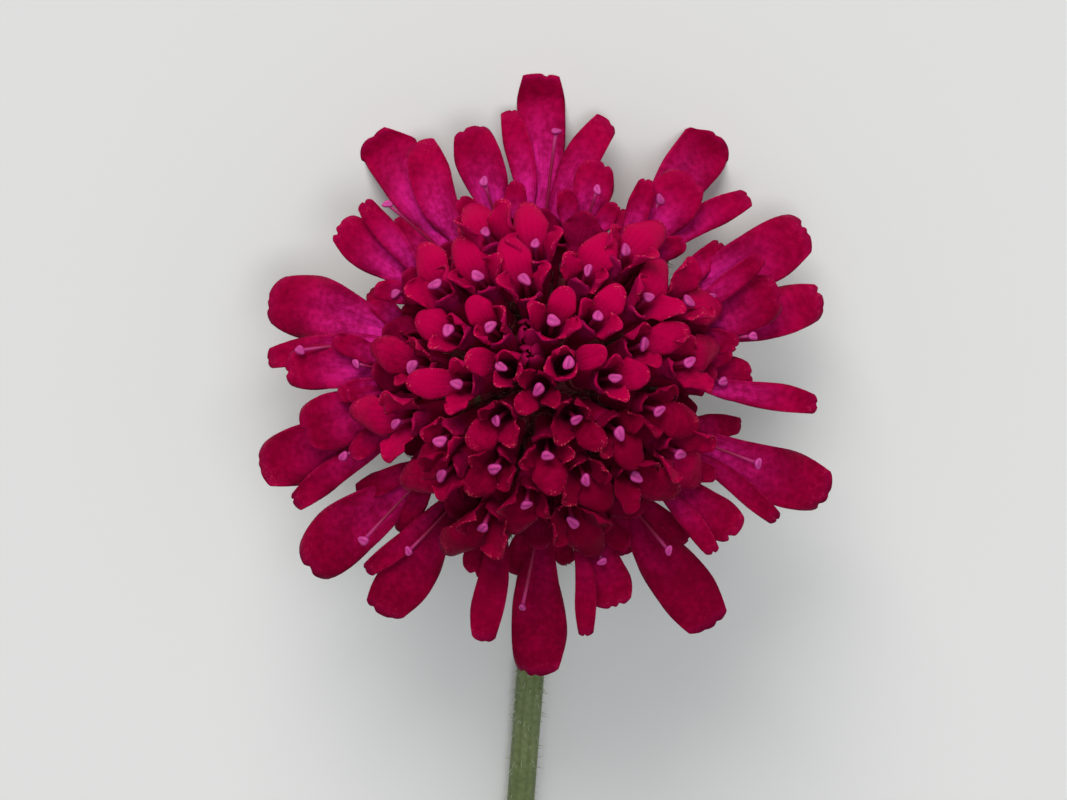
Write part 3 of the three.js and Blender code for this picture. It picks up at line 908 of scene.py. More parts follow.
disc = Tissue("across", "along", "back", "tone")
styles_wanted = []
for k in range(disc_floret_count):
    radius = disc_spacing * math.sqrt(k + disc_start_share) + chance.uniform(-0.2, 0.2)
    azimuth = disc_start_azimuth + k * GOLDEN_ANGLE + chance.uniform(-4, 4)
    axis, outward = tube_frame(azimuth, disc_tilt * radius + chance.uniform(-3, 3))
    swing = math.radians(chance.uniform(-disc_swing, disc_swing))
    outward = turned(swing, outward, np.cross(axis, outward))
    mouth = polar(azimuth, radius, dome_top - dome_fall * radius**2 + chance.uniform(-0.4, 0.3))
    floret(disc, mouth, axis, outward, disc_tube_length, disc_lobes(radius, painted_sun_and_tone_at(azimuth, *disc_painted_sun_tones)))
    style_height = disc_style_height[0] + disc_style_height[1] * radius
    styles_wanted.append(dict(
        mouth=mouth, axis=axis, tube_length=disc_tube_length, bend=mouth, thickness=0.16, size=0.98,
        stigma=mouth + style_height * (axis + 0.12 * outward), facing=unit(axis + 0.5 * head_up),
    ))
for azimuth, radius in buds:
    axis, outward = tube_frame(azimuth, bud_tilt * radius)
    folded = [
        lobe("bud", turn, half_width=0.58, tip=leaning(length=1.8, lean=chance.uniform(-28, -6)),
             rise=0.6, cup=0.5, tone=0.9, twist=chance.uniform(5, 35))
        for turn in quarter_turns
    ]
    floret(disc, polar(azimuth, radius, bud_mouth_height), axis, outward, bud_tube_length, folded)
disc.piece("disc_florets", disc_petal, "petal_crimson", "flower_head")

# %% [markdown]
# The rim's florets send one lobe far out, with a narrower lobe on each side. No rule gives their
# directions, because they lie as they happened to fall, so they were read off the photograph.
# A row holds the tier; azimuth, reach and width of the long lobe and of the two beside it; whether the
# long lobe rests on the table; and azimuth and reach of the stigma. Degrees and millimetres are used.

# %% Plan of the rim
ray_tiers = [
    dict(mouth_radius=8.6, mouth_height=4.6, tilt=80, tip_height=2.2),
    dict(mouth_radius=9.0, mouth_height=6.0, tilt=76, tip_height=5.8),
]
ray_plan = [
    (0, (90.4, 20.4, 3.2), (75.8, 17.7, 2.4), (97, 18.0, 1.8), True, (87.0, 16.3)),
    (0, (53.7, 20.3, 3.8), (41.5, 18.4, 1.9), (65, 12.5, 1.8), True, (56.9, 14.1)),
    (0, (29.5, 20.3, 3.9), (21, 14.0, 1.5), (37.5, 15.0, 1.6), False, (27.7, 15.9)),
    (0, (15.5, 19.4, 3.2), (6, 12.5, 1.5), (22, 14.0, 1.5), False, (11.5, 14.1)),
    (0, (-22, 20.6, 3.8), (-31, 18.2, 1.4), (-13, 13.5, 1.5), False, (-21.5, 15.2)),
    (1, (-38.5, 16.3, 2.9), (-45.5, 16.0, 1.4), (-29, 13.0, 1.4), False, (-34, 12.1)),
    (0, (-55.7, 20.0, 3.9), (-65, 13.0, 1.6), (-48, 14.5, 1.6), False, (-53.8, 14.0)),
    (1, (-72.8, 15.7, 3.3), (-80.5, 17.2, 1.4), (-63, 12.5, 1.5), False, (-72.1, 12.6)),
    (0, (-91, 20.0, 3.7), (-100, 13.0, 1.5), (-82, 12.5, 1.5), False, (-95.2, 15.1)),
    (1, (-109, 13.7, 2.6), (-118, 12.0, 1.4), (-102.7, 17.7, 2.2), False, (-117.3, 11.1)),
    (0, (-124.3, 19.3, 3.6), (-132.5, 17.4, 1.4), (-114, 12.5, 1.5), False, (-128, 14.4)),
    (0, (-141.7, 20.2, 4.1), (-148.5, 14.5, 1.6), (-133, 14.0, 1.4), False, (-138, 15.9)),
    (0, (-163, 19.8, 3.9), (-171, 14.0, 1.8), (-153.5, 18.5, 1.8), False, (-158.8, 14.1)),
    (1, (-168.5, 16.4, 3.8), (-176, 13.0, 1.5), (-158, 13.5, 1.6), False, (-164.2, 11.0)),
    (1, (177.5, 17.0, 3.0), (169, 14.0, 1.5), (185, 13.5, 1.5), False, (175.3, 12.3)),
    (0, (163.2, 19.2, 4.3), (153, 13.0, 1.6), (176, 18.3, 1.9), False, (173.3, 16.1)),
    (1, (143, 16.9, 2.9), (135.3, 16.6, 1.6), (152, 12.5, 1.5), False, (150, 11.2)),
    (0, (126.3, 20.1, 3.7), (117.5, 18.0, 2.8), (134, 14.5, 1.6), True, (131.7, 15.4)),
    (1, (106.2, 17.3, 3.1), (97, 13.0, 1.5), (115, 13.0, 1.5), False, (106.7, 13.5)),
    (1, (75, 14.8, 2.7), (67, 12.5, 1.3), (84, 12.5, 1.4), False, (74, 12.9)),
    (1, (54, 16.7, 3.6), (44, 13.0, 1.6), (62.5, 14.8, 1.6), False, (50.8, 10.8)),
    (1, (20, 16.6, 3.6), (10, 13.0, 1.6), (29.5, 16.5, 1.5), False, (26, 12.3)),
    (1, (1, 13.9, 2.4), (-5.6, 18.2, 1.8), (9, 12.5, 1.5), False, (-0.9, 11.8)),
]
print("florets in the two tiers:", [sum(row[0] == tier for row in ray_plan) for tier in (0, 1)])

# %% [markdown]
# The lower tier lies nearly flat and the upper tier stands over it. Three long lobes of the lower tier
# rest on the table and carry the head, so their tips are sought on the table itself, pressed a little
# below it before the lobe is lifted point by point. A long lobe ends in one or two shallow notches.

# %% Ray florets
ray_tube_length = 4.2
side_lobe_turn = 85
side_lobe_lift = 1.1  # of a side lobe's tip over the long lobe's
resting_press = 2.4
style_rise = 0.16  # per millimetre of reach
style_lift = 0.5
style_straight = 1.2  # over the mouth, before a ray's style bends outward


def resting_tip(azimuth, reach):
    """A place just below the table's surface, at this reach from the head's axis."""
    tip = polar(azimuth, reach, 0)
    tip[2] = -(neck_top[2] + tip @ table_up) / table_up[2]
    return tip - table_up * resting_press


rays = Tissue("across", "along", "back", "tone")
for tier, (azimuth, reach, width), low, high, rests, (stigma_azimuth, stigma_reach) in ray_plan:
    level = ray_tiers[tier]
    axis, outward = tube_frame(azimuth, level["tilt"])
    mouth = polar(azimuth, level["mouth_radius"], level["mouth_height"])
    tip = resting_tip(azimuth, reach) if rests else polar(azimuth, reach, level["tip_height"])
    tip_side = unit(np.cross(table_up, polar(azimuth, 1, 0))) if rests else polar(azimuth + 90, 1, 0)
    notches = [(chance.uniform(-0.65, 0.65), chance.uniform(0.06, 0.30)) for _ in range(2)]
    tone = painted_sun_and_tone_at(azimuth, *ray_painted_sun_tones)
    long_lobe = lobe(
        "long", 0, width / 2, reaching(tip), rise=0.4, cup=-0.12, tone=tone,
        bend=chance.uniform(-0.05, 0.05), tip_side=tip_side, rests=rests, notches=notches,
    )
    sides = []
    for turn, (side_azimuth, side_reach, side_width) in ((-side_lobe_turn, low), (side_lobe_turn, high)):
        side_tip = polar(side_azimuth, side_reach, level["tip_height"] + side_lobe_lift)
        sides.append(lobe(
            "side", turn, side_width / 2, reaching(side_tip), rise=0.4, cup=0.15,
            tone=painted_sun_and_tone_at(azimuth, *ray_painted_sun_tones), tip_side=polar(side_azimuth + 90, 1, 0),
            notches=[(chance.uniform(-0.4, 0.4), chance.uniform(0.05, 0.2))],
        ))
    inner_tip = leaning(length=2.8, lean=6 + chance.uniform(-8, 8))
    # The inner lobe is painted darker, as shade at the foot of the rim.
    inner = lobe(
        "inner", inner_lobe_turn, half_width=1.35, tip=inner_tip, rise=0.45, cup=0.2, tone=0.3 * tone,
    )
    floret(rays, mouth, axis, outward, ray_tube_length, [sides[0], long_lobe, sides[1], inner])
    stigma_height = level["mouth_height"] + (stigma_reach - level["mouth_radius"]) * style_rise + style_lift
    styles_wanted.append(dict(
        mouth=mouth, axis=axis, tube_length=ray_tube_length, bend=mouth + style_straight * axis,
        thickness=0.10, size=0.78, stigma=polar(stigma_azimuth, stigma_reach, stigma_height),
        facing=unit(0.6 * axis + head_up),
    ))
print("the rim has", len(ray_plan), "florets, and", sum(row[4] for row in ray_plan), "rest on the table")

# %% [markdown]
# Where two neighbouring rays stand well apart, a small late floret is crowded in between, low behind
# the dome. Only its four short lobes show, dark in the gap, where they are painted dark as shade.

# %% Crowded florets
crowding_gap = 10  # degrees between two rays that leave room for one
crowded_tilt = 56
crowded_mouth_radius = 7.8
crowded_mouth_height = 4.9
crowded_tube_length = 3.2

crowded_count = 0
ray_azimuths = sorted(row[1][0] for row in ray_plan)
for low, high in zip(ray_azimuths, ray_azimuths[1:] + [ray_azimuths[0] + 360]):
    if high - low < crowding_gap:
        continue
    azimuth = (low + high) / 2 + chance.uniform(-1.5, 1.5)
    axis, outward = tube_frame(azimuth, crowded_tilt + chance.uniform(-6, 6))
    mouth_radius = crowded_mouth_radius + chance.uniform(-0.3, 0.3)
    mouth = polar(azimuth, mouth_radius, crowded_mouth_height + chance.uniform(-0.4, 0.4))
    # Its lobes get the lowest painted sunlight, a painted shade.
    crowded = [
        lobe("inner", turn, half_width=1.0, tip=leaning(length=2.3, lean=24 + chance.uniform(-14, 14)),
             rise=0.5, cup=0.3, tone=0.05, twist=chance.uniform(-20, 20))
        for turn in quarter_turns
    ]
    floret(rays, mouth, axis, outward, crowded_tube_length, crowded)
    crowded_count += 1
rays.piece("ray_florets", ray_petal, "petal_crimson")
print(crowded_count, "late florets stand between the rays")

# %% [markdown]
# Out of each throat stands a thin pink style, dark at its foot and paler towards its end. It is a round
# tube swept along a curved line. The same sweep serves the calyx cups later.

# %% Styles
style_depth = 1.9  # below the mouth, where the style starts
style_thickness = (0.85, 1.2)  # at the foot and at the stigma, as shares of a style's own thickness
style_rows = 10
style_sides = 8
STYLE_FOOT = (0.20, 0.001, 0.035, 1)
STYLE_PINK = (0.40, 0.022, 0.17, 1)


def sweep(tissue, line, radii, sides, **marks):
    """A closed tapered tube along a line of points, all in the head's frame."""
    tangent = unit(np.gradient(line, axis=0))
    first, second = square_pair(tangent, [0.31, 0.87, 0.38])
    angle = np.linspace(0, 2 * math.pi, sides, endpoint=False)[:, None]
    ring = turned(angle, first[:, None], second[:, None])
    grid = line[:, None] + ring * radii[:, None, None]
    numbers = tissue.put(on_table(grid), along=np.linspace(0, 1, len(line))[:, None], **marks)
    tissue.join(quads(around(numbers))[:, ::-1], numbers[:1, ::-1], numbers[-1:])


styles = Tissue("along", "tone")
t = np.linspace(0, 1, style_rows)[:, None]


def grow_style(wanted):
    """A style from deep in its floret up to its stigma."""
    foot = wanted["mouth"] - style_depth * wanted["axis"]
    line = curve(t, foot, wanted["bend"], wanted["stigma"])
    at_foot, at_stigma = style_thickness
    radii = wanted["thickness"] * (at_foot + (at_stigma - at_foot) * t[:, 0] ** 3)
    sweep(styles, line, radii, style_sides, tone=chance.random())


style_material, tree, shader = principled("style", Roughness=0.5, Specular_IOR_Level=0.2)
paling = rise(tree, marked(tree, "along"), 0.8, 1.05)
flush = rise(tree, marked(tree, "tone"), 0.0, 1.0, 0.8, 1.0)
painted(tree, shader, mixed(tree, product(tree, paling, flush), STYLE_FOOT, STYLE_PINK))
print("a style has", style_rows * style_sides, "points")

# %% [markdown]
# A style ends in its stigma, a small lilac pad, rounded three-cornered, with a groove across its top
# that parts its two lips. It is a ball of points pressed flat, with waves round its rim, and sunk along
# one line.

# %% Stigmas
pad_half_length = 0.465
pad_half_width = 0.35
pad_half_height = 0.25
groove_depth = 0.08
groove_width = 0.11
rim_waves = ((3, 0.10), (2, 0.07))  # how many waves round the rim, and how high
facing_scatter = 0.22
STIGMA_LILAC = (0.48, 0.040, 0.238, 1)
STIGMA_ROSE = (0.38, 0.028, 0.175, 1)
# The next two are painted shade, in the groove and under the pad.
STIGMA_GROOVE_SHADE = (0.30, 0.016, 0.15, 1)
STIGMA_UNDER_SHADE = (0.22, 0.008, 0.11, 1)

stigmas = Tissue("groove", "height", "tone")
latitude = np.linspace(0, math.pi, 18)[1:-1, None]
longitude = np.linspace(0, 2 * math.pi, 24, endpoint=False)[None, :]


def grow_stigma(wanted):
    """The pad at the end of a style, turned by chance."""
    facing = unit(wanted["facing"] + chance.normal(0, facing_scatter, 3))
    size = wanted["size"] * chance.uniform(0.88, 1.1)
    spin = chance.uniform(0, 2 * math.pi)
    wide = turned(spin, *square_pair(facing, [0.2, 0.9, 0.1]))
    deep = np.cross(facing, wide)
    rim = 1.0
    for count, wave_height in rim_waves:
        rim = rim + wave_height * np.cos(count * longitude + chance.uniform(0, 6))
    x = pad_half_length * np.sin(latitude) * np.cos(longitude) * rim
    y = pad_half_width * np.sin(latitude) * np.sin(longitude) * rim
    z = pad_half_height * np.cos(latitude)
    groove = np.exp(-((y / groove_width) ** 2) - (x / pad_half_width) ** 4) * (z > 0)
    z = z - groove_depth * groove
    pad = size * (x[..., None] * wide + y[..., None] * deep + z[..., None] * facing)
    ends = [(pad_half_height - groove_depth) * size * facing, -pad_half_height * size * facing]
    tone = chance.random()
    numbers = stigmas.put(on_table(wanted["stigma"] + pad), groove=groove, height=np.cos(latitude), tone=tone)
    top = stigmas.put(on_table(wanted["stigma"] + ends[0]), groove=1.0, height=1.0, tone=tone)
    bottom = stigmas.put(on_table(wanted["stigma"] + ends[1]), groove=0.0, height=-1.0, tone=tone)
    stigmas.join(quads(around(numbers)), fan(numbers[0], top), fan(numbers[-1], bottom)[:, ::-1])


stigma_material, tree, shader = principled("stigma", Roughness=0.55, Specular_IOR_Level=0.2)
grain = used(tree, mottle, Coarse=1500.0, Fine=9000.0)
lilac = maths(tree, "ADD", grain, rise(tree, marked(tree, "tone"), 0.0, 1.0, -0.12, 0.12))
pad_colour = mixed(tree, rise(tree, lilac, 0.35, 0.65), STIGMA_ROSE, STIGMA_LILAC)
# The underside and the groove of the pad are painted darker, as shade.
pad_colour = mixed(tree, rise(tree, marked(tree, "height"), 0.55, -0.1), pad_colour, STIGMA_UNDER_SHADE)
groove_shade_share = rise(tree, marked(tree, "groove"), 0.1, 0.8, 0.0, 0.65)
painted(tree, shader, mixed(tree, groove_shade_share, pad_colour, STIGMA_GROOVE_SHADE))
bumped(tree, shader, grain, strength=0.5, depth=0.05)

for wanted in styles_wanted:
    grow_style(wanted)
    grow_stigma(wanted)
styles.piece("styles", style_material, "stigma_pink")
stigmas.piece("stigmas", stigma_material, "stigma_pink")

# %% [markdown]
# Under the florets is the receptacle, a low dome that the tubes stand on. It is a body turned on the
# head's axis from a profile, with a slight swelling between the florets. Nearly all of it is hidden,
# but without it one could look right through the head.

# %% Receptacle
turn_count = 40
around_turn = np.linspace(0, 2 * math.pi, turn_count, endpoint=False)
receptacle_profile = [
    (0, 1.2), (2.4, 1.2), (3.4, 1.5), (4.6, 2.5), (5.1, 4.0),
    (5.0, 5.6), (4.2, 7.2), (2.6, 8.5), (0.9, 9.1), (0, 9.2),
]  # radius and height of each corner
receptacle_height = 9.0
swelling_count = 9


def turned_body(tissue, profile, swell, marks_at):
    """A closed body from a profile that starts and ends on the axis, with marks by height."""
    radii, heights = np.array(profile[1:-1], float)[:, None].transpose(2, 0, 1)
    radii = radii * (1 + swell * np.sin(swelling_count * around_turn))
    heights = heights + 0 * radii
    grid = np.stack([radii * np.cos(around_turn), radii * np.sin(around_turn), heights], -1)
    numbers = tissue.put(on_table(grid), **marks_at(heights))
    ends = [height for _, height in (profile[0], profile[-1])]
    foot, top = (tissue.put(on_table(height * head_up), **marks_at(height)) for height in ends)
    tissue.join(quads(around(numbers))[:, ::-1], fan(numbers[0], foot)[:, ::-1], fan(numbers[-1], top))


receptacle = Tissue("along")
turned_body(receptacle, receptacle_profile, 0.02, lambda height: dict(along=height / receptacle_height))

# The upper calyx and receptacle are dark red: partly their own flush, partly painted shade for the gaps
# between the florets.
CALYX_FLUSH_AND_SHADE = (0.140, 0.003, 0.015, 1)
CALYX_DARK_FLUSH_AND_SHADE = (0.070, 0.004, 0.008, 1)
CALYX_GREEN = (0.110, 0.140, 0.060, 1)
CALYX_DARK_GREEN = (0.060, 0.075, 0.030, 1)
calyx_material, tree, shader = principled("calyx", Roughness=0.7, Specular_IOR_Level=0.3)
patches = rise(tree, used(tree, mottle, Coarse=900.0, Fine=5000.0), 0.3, 0.7)
flush_and_shade = mixed(tree, patches, CALYX_DARK_FLUSH_AND_SHADE, CALYX_FLUSH_AND_SHADE)
leafy = mixed(tree, patches, CALYX_DARK_GREEN, CALYX_GREEN)
painted(tree, shader, mixed(tree, rise(tree, marked(tree, "along"), 0.15, 0.55), leafy, flush_and_shade))
receptacle.piece("receptacle", calyx_material, "bract_green")

# %% [markdown]
# Hairs and bristles come in thousands, so each is the least that a hair can be: a thin three-sided cone
# with one bend. All the hairs of a piece are worked out together.

# %% Growing bristles
bristle_faces = np.array([
    [0, 1, 4], [0, 4, 3], [1, 2, 5], [1, 5, 4], [2, 0, 3], [2, 3, 5],
    [3, 4, 6], [4, 5, 6], [5, 3, 6], [0, 2, 1],
])
bristle_levels = ((0.0, 1.0), (0.55, 0.7))  # share of the length, and share of the radius there
bristle_droop = 0.25  # of the length, at the tip
bristle_spin = 2.4  # radians from the side that one bristle droops to, to the next one's


def bristles(tissue, roots, directions, lengths, radius):
    """Hairs in the table's frame, from their roots, directions and lengths."""
    directions = unit(directions)
    lengths = lengths[:, None]
    first, second = square_pair(directions, [0.37, 0.21, 0.9])
    sag = turned(np.arange(len(roots))[:, None] * bristle_spin, second, first) * lengths * bristle_droop
    corners, along = [], []
    for share, size in bristle_levels:
        centre = roots + directions * lengths * share + sag * share**2
        for angle in (0, 2 * math.pi / 3, 4 * math.pi / 3):
            corners.append(centre + radius * size * turned(angle, first, second))
            along.append(share)
    corners.append(roots + directions * lengths + sag)
    numbers = tissue.put(np.stack(corners, 1), along=np.array([*along, 1.0]))
    tissue.join(numbers[:, bristle_faces].reshape(-1, 3))


print("a bristle has", len(bristle_faces), "triangles")

# %% [markdown]
# Round each tube's foot is a small cup, the outer calyx, with nine bristles on its rim. Between the
# rim's petals these show as bristly tips, green at the foot and dark red above: a red flush, darkened
# into painted shade for the gaps between the florets.

# %% Calyx cups
cup_levels = np.array([(0.0, 0.50), (0.4, 0.66), (1.2, 0.74), (1.9, 0.78), (2.0, 0.70)])  # height, radius
cup_sides = 12
cup_bristles = 9
cup_bristle_root = (1.9, 0.72)  # height and radius
cup_bristle_aim = (2.9, 1.0)
cup_bristle_radius = 0.045
cup_bristle_lengths = (0.8, 1.3)

calyx = Tissue("along")
calyx_hairs = Tissue("along")
for wanted in styles_wanted:
    axis = wanted["axis"]
    start = wanted["mouth"] - wanted["tube_length"] * axis
    sweep(calyx, start + axis * cup_levels[:, :1], cup_levels[:, 1], cup_sides)
    angle = (np.arange(cup_bristles) * 2 * math.pi / cup_bristles + chance.uniform(0, 1))[:, None]
    out = turned(angle, *square_pair(axis, [0.2, 0.1, 0.97]))
    rim = on_table(start + axis * cup_bristle_root[0] + out * cup_bristle_root[1])
    goal = on_table(start + axis * cup_bristle_aim[0] + out * cup_bristle_aim[1])
    lengths = chance.uniform(*cup_bristle_lengths, cup_bristles)
    bristles(calyx_hairs, rim, goal - rim, lengths, cup_bristle_radius)
calyx.piece("calyx_cups", calyx_material, "bract_green")
shaded_hair, _, _ = principled("shaded_hair", Roughness=0.5, Base_Color=(0.09, 0.05, 0.035, 1))
calyx_hairs.piece("calyx_bristles", shaded_hair, "bract_green")

# %% [markdown]
# Two rows of green bracts cup the head from below. Each is a narrow pointed leaf with a raised middle
# rib and stiff pale hairs along both edges. It is a thin blade with two skins on a curved middle line,
# with a keel under the rib and a slow wave along the edge.

# %% One bract
bract_thickness = 0.34
bract_rows = 22
bract_columns = 8
bract_outline = ([0, 0.15, 0.35, 0.6, 0.8, 0.93, 1], [0.7, 0.9, 1.0, 0.84, 0.5, 0.2, 0.03])  # place, width
bract_arch = (0.25, 0.5)  # from the flattest bract to the most arched
tip_droop = (-0.2, 0.7)  # below 0, a tip turns up
bract_swerve = 0.5
bract_twist = 16  # degrees
bract_cup = 0.12  # of the width
bract_wave = 0.06
edge_hairs = 46
edge_hair_radius = 0.035
edge_hair_lengths = (0.35, 0.85)
edge_hair_scatter = 0.22
fringe_ends = (0.08, 0.98)  # of the bract's length

bracts = Tissue("across", "along", "back", "tone")
fringe = Tissue("along")


def bract_surface(azimuth, root, tip, width, lift):
    """The middle surface of a bract, with its two directions in the blade and the one out of it."""
    v = np.linspace(0, 1, bract_rows + 1)[:, None]
    u = np.linspace(-1, 1, bract_columns + 1)[None, :]
    start, end = polar(azimuth, *root), polar(azimuth, *tip)
    control = (start + end) / 2 + lift * head_up
    sideways = polar(azimuth + 90, 1, 0)
    arch = chance.uniform(*bract_arch) * np.sin(math.pi * v)
    arch = arch - chance.uniform(*tip_droop) * late(v, 0.55)
    swerve = chance.uniform(-bract_swerve, bract_swerve) * v**2
    line = curve(v, start, control, end) + arch * head_up + swerve * sideways
    along = unit(np.gradient(line, axis=0))
    twist = math.radians(chance.uniform(-bract_twist, bract_twist))
    across = turned(twist * v, sideways, head_up)
    up = unit(np.cross(along, across))
    outline = np.interp(v, *bract_outline)
    wave = bract_wave * np.sin(2 * math.pi * (1.6 * v + chance.random())) * np.sign(u) * u**2
    x = u * outline * width / 2
    z = (bract_cup * u**2 + wave) * width * v * outline
    surface = line[:, None] + across[:, None] * x[..., None] + up[:, None] * z[..., None]
    return surface, u, v, along, across, up


def bract(azimuth, root, tip, width, lift):
    """One bract with its hairs. Its root and its tip are each a radius and a height."""
    surface, u, v, along, across, up = bract_surface(azimuth, root, tip, width, lift)
    thinned = bract_thickness / 2 * (1 - 0.85 * late(v, 0.3))
    half_thickness = thinned * (1 - 0.6 * np.abs(u) ** 3)
    keel = thinned * (0.35 + 0.65 * np.exp(-((u / 0.2) ** 2))) * (1 - u**2)
    marks = dict(across=u, along=v, tone=chance.random())
    upper = surface + up[:, None] * half_thickness[..., None]
    lower = surface - up[:, None] * (half_thickness + keel)[..., None]
    over = bracts.put(on_table(upper), back=0.0, **marks)
    under = bracts.put(on_table(lower), back=1.0, **marks)
    rims = [np.concatenate([border(side), side[0, -2::-1]]) for side in (under, over)]
    bracts.join(quads(over), quads(under)[:, ::-1], quads(np.stack(rims, 1)))
    for column, sign in ((0, -1), (-1, 1)):
        share = np.sort(chance.uniform(*fringe_ends, edge_hairs))
        place = np.stack([np.interp(share, v[:, 0], surface[:, column, axis]) for axis in range(3)], 1)
        rows = (share * bract_rows).astype(int)
        stray = chance.normal(0, edge_hair_scatter, (edge_hairs, 3))
        heading = sign * across[rows] + 0.5 * along[rows] + stray
        roots = on_table(place)
        lengths = chance.uniform(*edge_hair_lengths, edge_hairs)
        bristles(fringe, roots, on_table(place + heading) - roots, lengths, edge_hair_radius)


print("a bract has", 2 * (bract_rows + 1) * (bract_columns + 1), "points and", 2 * edge_hairs, "hairs")

# %% [markdown]
# The outer row stands at directions read off the photograph, and the shorter inner row fills the gaps.
# Both grow from a small turned cup on top of the neck.

# %% Bracts
outer_bract_azimuths = [0, 43, 96, 143, 188, 233, 278, 322]
inner_bract_turn = 22.5
cup_profile = [(0, 0), (0.9, 0), (1.5, 0.15), (2.3, 0.4), (3.1, 0.75), (3.4, 1.1), (3.2, 1.35), (0, 1.4)]

for k, azimuth in enumerate(outer_bract_azimuths):
    bract(azimuth, root=(2.2, 0.85), tip=(12.6 - 0.5 * (k % 3), 1.4), width=2.8, lift=-0.3)
for k, azimuth in enumerate(outer_bract_azimuths):
    bract(azimuth + inner_bract_turn, root=(2.2, 0.95), tip=(10.4 + 0.5 * (k % 2), 2.2), width=2.2, lift=-0.2)
turned_body(bracts, cup_profile, 0.0, lambda height: dict(across=0.3, along=0.05, back=1.0, tone=0.5))
print(2 * len(outer_bract_azimuths), "bracts")

# %% [markdown]
# A bract is a dull green leaf: mottled, paler on its rib and its back, with a brownish flush at the
# tip, and finely veined. Its hairs are pale at their ends, where light passes through them.

# %% Bract and hair materials
LEAF_DARK = (0.120, 0.190, 0.075, 1)
LEAF_PALE = (0.230, 0.310, 0.160, 1)
LEAF_BACK = (0.23, 0.30, 0.15, 1)
RIB_PALE = (0.36, 0.45, 0.27, 1)
TIP_BROWN = (0.16, 0.07, 0.04, 1)
HAIR_GREEN = (0.30, 0.38, 0.20, 1)
HAIR_PALE = (0.62, 0.66, 0.50, 1)

bract_material, tree, shader = principled("bract", Roughness=0.62, Specular_IOR_Level=0.35, Sheen_Weight=0.15)
across, along, back, tone = (marked(tree, name) for name in ("across", "along", "back", "tone"))
lean = rise(tree, tone, 0.0, 1.0, -0.06, 0.06)
soft = maths(tree, "ADD", used(tree, mottle, Coarse=500.0, Fine=4000.0), lean)
colour = mixed(tree, rise(tree, soft, 0.3, 0.7), LEAF_DARK, LEAF_PALE)
colour = mixed(tree, rise(tree, maths(tree, "ABSOLUTE", across), 0.02, 0.16, 0.6, 0.0), colour, RIB_PALE)
colour = mixed(tree, product(tree, back, 0.3), colour, LEAF_BACK)
painted(tree, shader, mixed(tree, rise(tree, along, 0.8, 1.0, 0.0, 0.5), colour, TIP_BROWN))
lines = used(tree, veins, Across=across, Along=along, Count=5.0)
relief = maths(tree, "ADD", product(tree, lines, -0.6), noise(tree, 5000.0))
bumped(tree, shader, relief, strength=0.5, depth=0.1)
bracts.piece("bracts", bract_material, "bract_green", "involucre")

hair_material, tree, shader = principled("pale_hair", Roughness=0.45, Specular_IOR_Level=0.5)
paling = rise(tree, marked(tree, "along"), 0.1, 0.9)
painted(tree, shader, mixed(tree, paling, HAIR_GREEN, HAIR_PALE))
fringe.piece("bract_fringe", hair_material, "bract_green")

# %% [markdown]
# The stalk is bare and wiry, two millimetres thick. It runs flat along the table with a slow sway and
# bends up into the neck on a part of a circle, whose radius follows from the neck's height and lean.

# %% Path of the stalk
stalk_radius = 1.0
stalk_cut_end = 95.0
stalk_sway = 2.3
sway_start = 5.0
sway_length = stalk_cut_end + 15
neck_angle = math.pi / 2 - head_tilt
neck_bend = (neck_top[2] - stalk_radius) / (1 - math.cos(neck_angle))
neck_start = neck_bend * math.sin(neck_angle)
straight_rows = 90
neck_rows = 40

bend_angle = np.linspace(0, neck_angle, neck_rows)
straight_y = np.linspace(-stalk_cut_end, -neck_start, straight_rows, endpoint=False)
line_y = np.concatenate([straight_y, -neck_start + neck_bend * np.sin(bend_angle)])
line_z = stalk_radius + np.concatenate([np.zeros(straight_rows), neck_bend * (1 - np.cos(bend_angle))])
sway_share = np.maximum(0, -line_y - sway_start) / sway_length
line_x = -stalk_sway * np.sin(math.pi * sway_share) ** 2
stalk_line = np.stack([line_x, line_y + neck_top[1], line_z], 1)
slope = np.concatenate([np.zeros(straight_rows), bend_angle])
print("the neck bends on a circle of", round(neck_bend, 1), "mm radius")

# %% [markdown]
# One ring of points is swept along the path. Shallow ribs wind slowly round it, and it widens under the
# head. At the cut end the skin turns inward to a pale disc with a pithy, sunken middle.

# %% Skin of the stalk
rib_count = 9
rib_depth = 0.035  # of the radius
rib_turn = 2.0  # radians that the ribs wind round the stalk
neck_thinning = 0.10
head_widening = 0.16
stalk_sides = 36
cut_steps = ((0.12, 0.0, 0.6), (0.55, 0.12, 1.0))  # inset, depth and paleness of each ring of the cut end
pith_depth = 0.35

angle = np.linspace(0, 2 * math.pi, stalk_sides, endpoint=False)
share = np.linspace(0, 1, len(stalk_line))[:, None]
ribs = np.cos(rib_count * angle + rib_turn * share)
thinning = neck_thinning * ease((share - 0.55) / 0.4)
thickness = stalk_radius * (1 - thinning + head_widening * late(share, 0.97))
radius = thickness * (1 - rib_depth * (1 + ribs) / 2)
sideways, upward = np.cos(angle) * radius, np.sin(angle) * radius
ring = np.stack([sideways, -upward * np.sin(slope)[:, None], upward * np.cos(slope)[:, None]], -1)
skin = stalk_line[:, None] + ring

